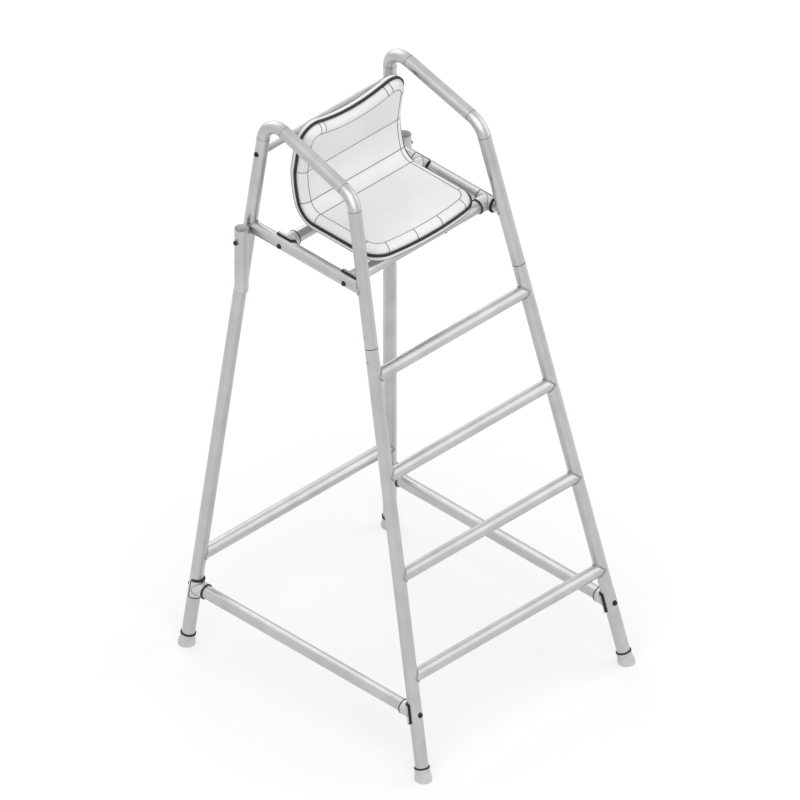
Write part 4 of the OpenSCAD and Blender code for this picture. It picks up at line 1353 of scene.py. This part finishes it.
        shank = [tip + (under - tip) * i / 60 for i in range(61)]
        rings = [
            ring(tip, self.stem_r),
            *[ring(x, thread(x)) for x in shank],
            ring(under, head(1.031)),
            ring(under + 0.5 * MM, head(1.155)),
            ring(top - 0.9 * MM, head(1.155)),
            ring(top - 0.3 * MM, head(1.0)),
            ring(top, 0.88 * half),
            ring(top, 0.72 * half),
            ring(top - 0.5 * MM, 0.66 * half),
            ring(top - 0.5 * MM, 0.4 * MM),
        ]
        shape = Shape()
        shape.rings(rings)
        body, name = Body(f"{side.label}_clamp_screw"), f"{side.label}_clamp_hex_screw"
        piece = shape.build(name, [BLACK_OXIDE], "dark_fastener", body, crease=25)
        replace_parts(piece, f"{side.label}_clamp_screw")


# Light and camera


@dataclass(frozen=True)
class Studio:
    """A plain white floor, soft lamps and the photograph's camera.

    The lamps reach less of the floor far from the chair. The floor's own glow makes up for that, so that
    it looks evenly white, and keeps the shadow.

    The photograph is a true isometric view, so the camera has no perspective and looks down from the
    chair's front left at 35.264 degrees.
    """

    view_width: float = 2.3224
    aside: float = -0.01915
    above: float = 0.7321
    distance: float = 8.0
    floor_size: float = 60.0
    floor_drop: float = 0.5 * MM
    world_light: float = 0.66
    glow_near: float = 0.34
    glow_far: float = 0.45
    glow_reach: float = 3.2

    def build(self) -> None:
        """Set up the colour handling, world, floor, lamps and camera."""
        bpy.context.scene.view_settings.view_transform = "Standard"
        self._world()
        self._floor()
        self._lamps()
        self._camera()

    def _camera(self) -> None:
        """Stand the camera where the drawing's viewer stands."""
        right = (ACROSS - ALONG).normalized()
        back = (UP - ACROSS - ALONG).normalized()
        up = back.cross(right)
        data = bpy.data.cameras.new("isometric_camera")
        data.type = "ORTHO"
        data.ortho_scale = self.view_width
        data.clip_end = 100.0
        camera = link("isometric_camera", data)
        spot = self.aside * right + self.above * up + self.distance * back
        camera.matrix_world = place_of(spot, right, up, back)
        bpy.context.scene.camera = camera

    def _world(self) -> None:
        """White to the eye and in reflections, and an even soft light on everything else."""
        world = bpy.data.worlds.new("studio")
        bpy.context.scene.world = world
        tree = blank_tree(world)
        light = add_node(tree, "Background", Color=srgb("#ffffff"), Strength=self.world_light)[0]
        white = add_node(tree, "Background", Color=srgb("#ffffff"), Strength=1.0)[0]
        mixed = add_node(tree, "MixShader", i0=self._seen(tree), i1=light, i2=white)[0]
        add_node(tree, "OutputWorld", Surface=mixed)

    @staticmethod
    def _seen(tree: Tree) -> Socket:
        """1 on camera, glossy and transmission rays, and 0 on the rest."""
        path = add_node(tree, "LightPath")
        seen = path["Is Camera Ray"]
        for name in ("Is Glossy Ray", "Is Transmission Ray"):
            seen = add_node(tree, "Math", operation="MAXIMUM", i0=seen, i1=path[name])[0]
        return seen

    def _floor(self) -> None:
        """A pale floor that keeps the chair's soft shadow."""
        half, z = self.floor_size / 2, -self.floor_drop
        corners = [(-half, -half, z), (half, -half, z), (half, half, z), (-half, half, z)]
        mesh = bpy.data.meshes.new("floor")
        mesh.from_pydata(corners, [], [(0, 1, 2, 3)])
        material = bpy.data.materials.new("pale_floor")
        tree = blank_tree(material)
        plain = add_node(tree, "BsdfDiffuse", Color=srgb("#d4d4d4"))[0]
        shown = add_node(tree, "BsdfDiffuse", Color=srgb("#cfcfcf"))[0]
        place = add_node(tree, "TexCoord")["Object"]
        far = add_node(tree, "VectorMath", operation="LENGTH", i0=place)["Value"]
        ends = {"From_Max": self.glow_reach, "To_Min": self.glow_near, "To_Max": self.glow_far}
        more = add_node(tree, "MapRange", Value=far, From_Min=0.0, **ends)[0]
        glow = add_node(tree, "Emission", Color=srgb("#ffffff"), Strength=more)[0]
        bright = add_node(tree, "AddShader", i0=shown, i1=glow)[0]
        mixed = add_node(tree, "MixShader", i0=self._seen(tree), i1=plain, i2=bright)[0]
        add_node(tree, "OutputMaterial", Surface=mixed)
        mesh.materials.append(material)
        floor = link("floor", mesh)

    def _lamps(self) -> None:
        """A large key from the ladder's left, a fill from its right and a rim light from behind."""
        for name, spot, size, watts in (
            ("key", Vector((-2.6, -2.2, 4.2)), 5.4, 104.0),
            ("fill", Vector((3.2, -1.6, 2.6)), 4.0, 36.0),
            ("rim", Vector((0.8, 3.4, 3.4)), 4.0, 46.0),
        ):
            data = bpy.data.lights.new(name, "AREA")
            data.size = size
            data.energy = watts
            lamp = link(name, data)
            lamp.location = spot
            lamp.rotation_euler = (spot - UP).to_track_quat("Z", "Y").to_euler()


def dress_small_parts(nodes: Nodes) -> None:
    """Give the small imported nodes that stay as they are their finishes."""
    sleeves = [f"{corner.label}_joint_sleeve" for corner in CORNERS]
    straps = [f"{side.label}_seat_strap" for side in Side]
    looks: dict[Finish, Sequence[str]] = {
        MILL_STEEL: (*sleeves, *straps, "socket_floors", "socket_webs", "clamp_bosses"),
        BLACK_OXIDE: ("seat_screws", "strap_bolts", "strap_nuts"),
        NEOPRENE: ("seat_spacers", "back_bar_plugs"),
        BRASS: ("saddle_inserts", "seat_inserts"),
        PAD_NYLON: ("left_clamp_pad", "right_clamp_pad"),
    }
    dress(nodes, looks)


def main() -> None:
    """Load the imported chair, dress it, and set up the light and the camera."""
    logging.basicConfig(level=logging.INFO, format="%(message)s")
    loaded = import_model()
    nodes = loaded["nodes"]
    Studio().build()
    frame = TubeFrame()
    frame.dress_tubes(nodes)
    frame.marks()
    dress_small_parts(nodes)
    welds = Welds(frame)
    welds.build()
    FrameBolts(frame).build()
    Saddles(frame).build()
    Feet(frame).build()
    Seat().build()
    UmbrellaSockets(frame, welds).build(nodes)


if __name__ == "__main__":
    main()
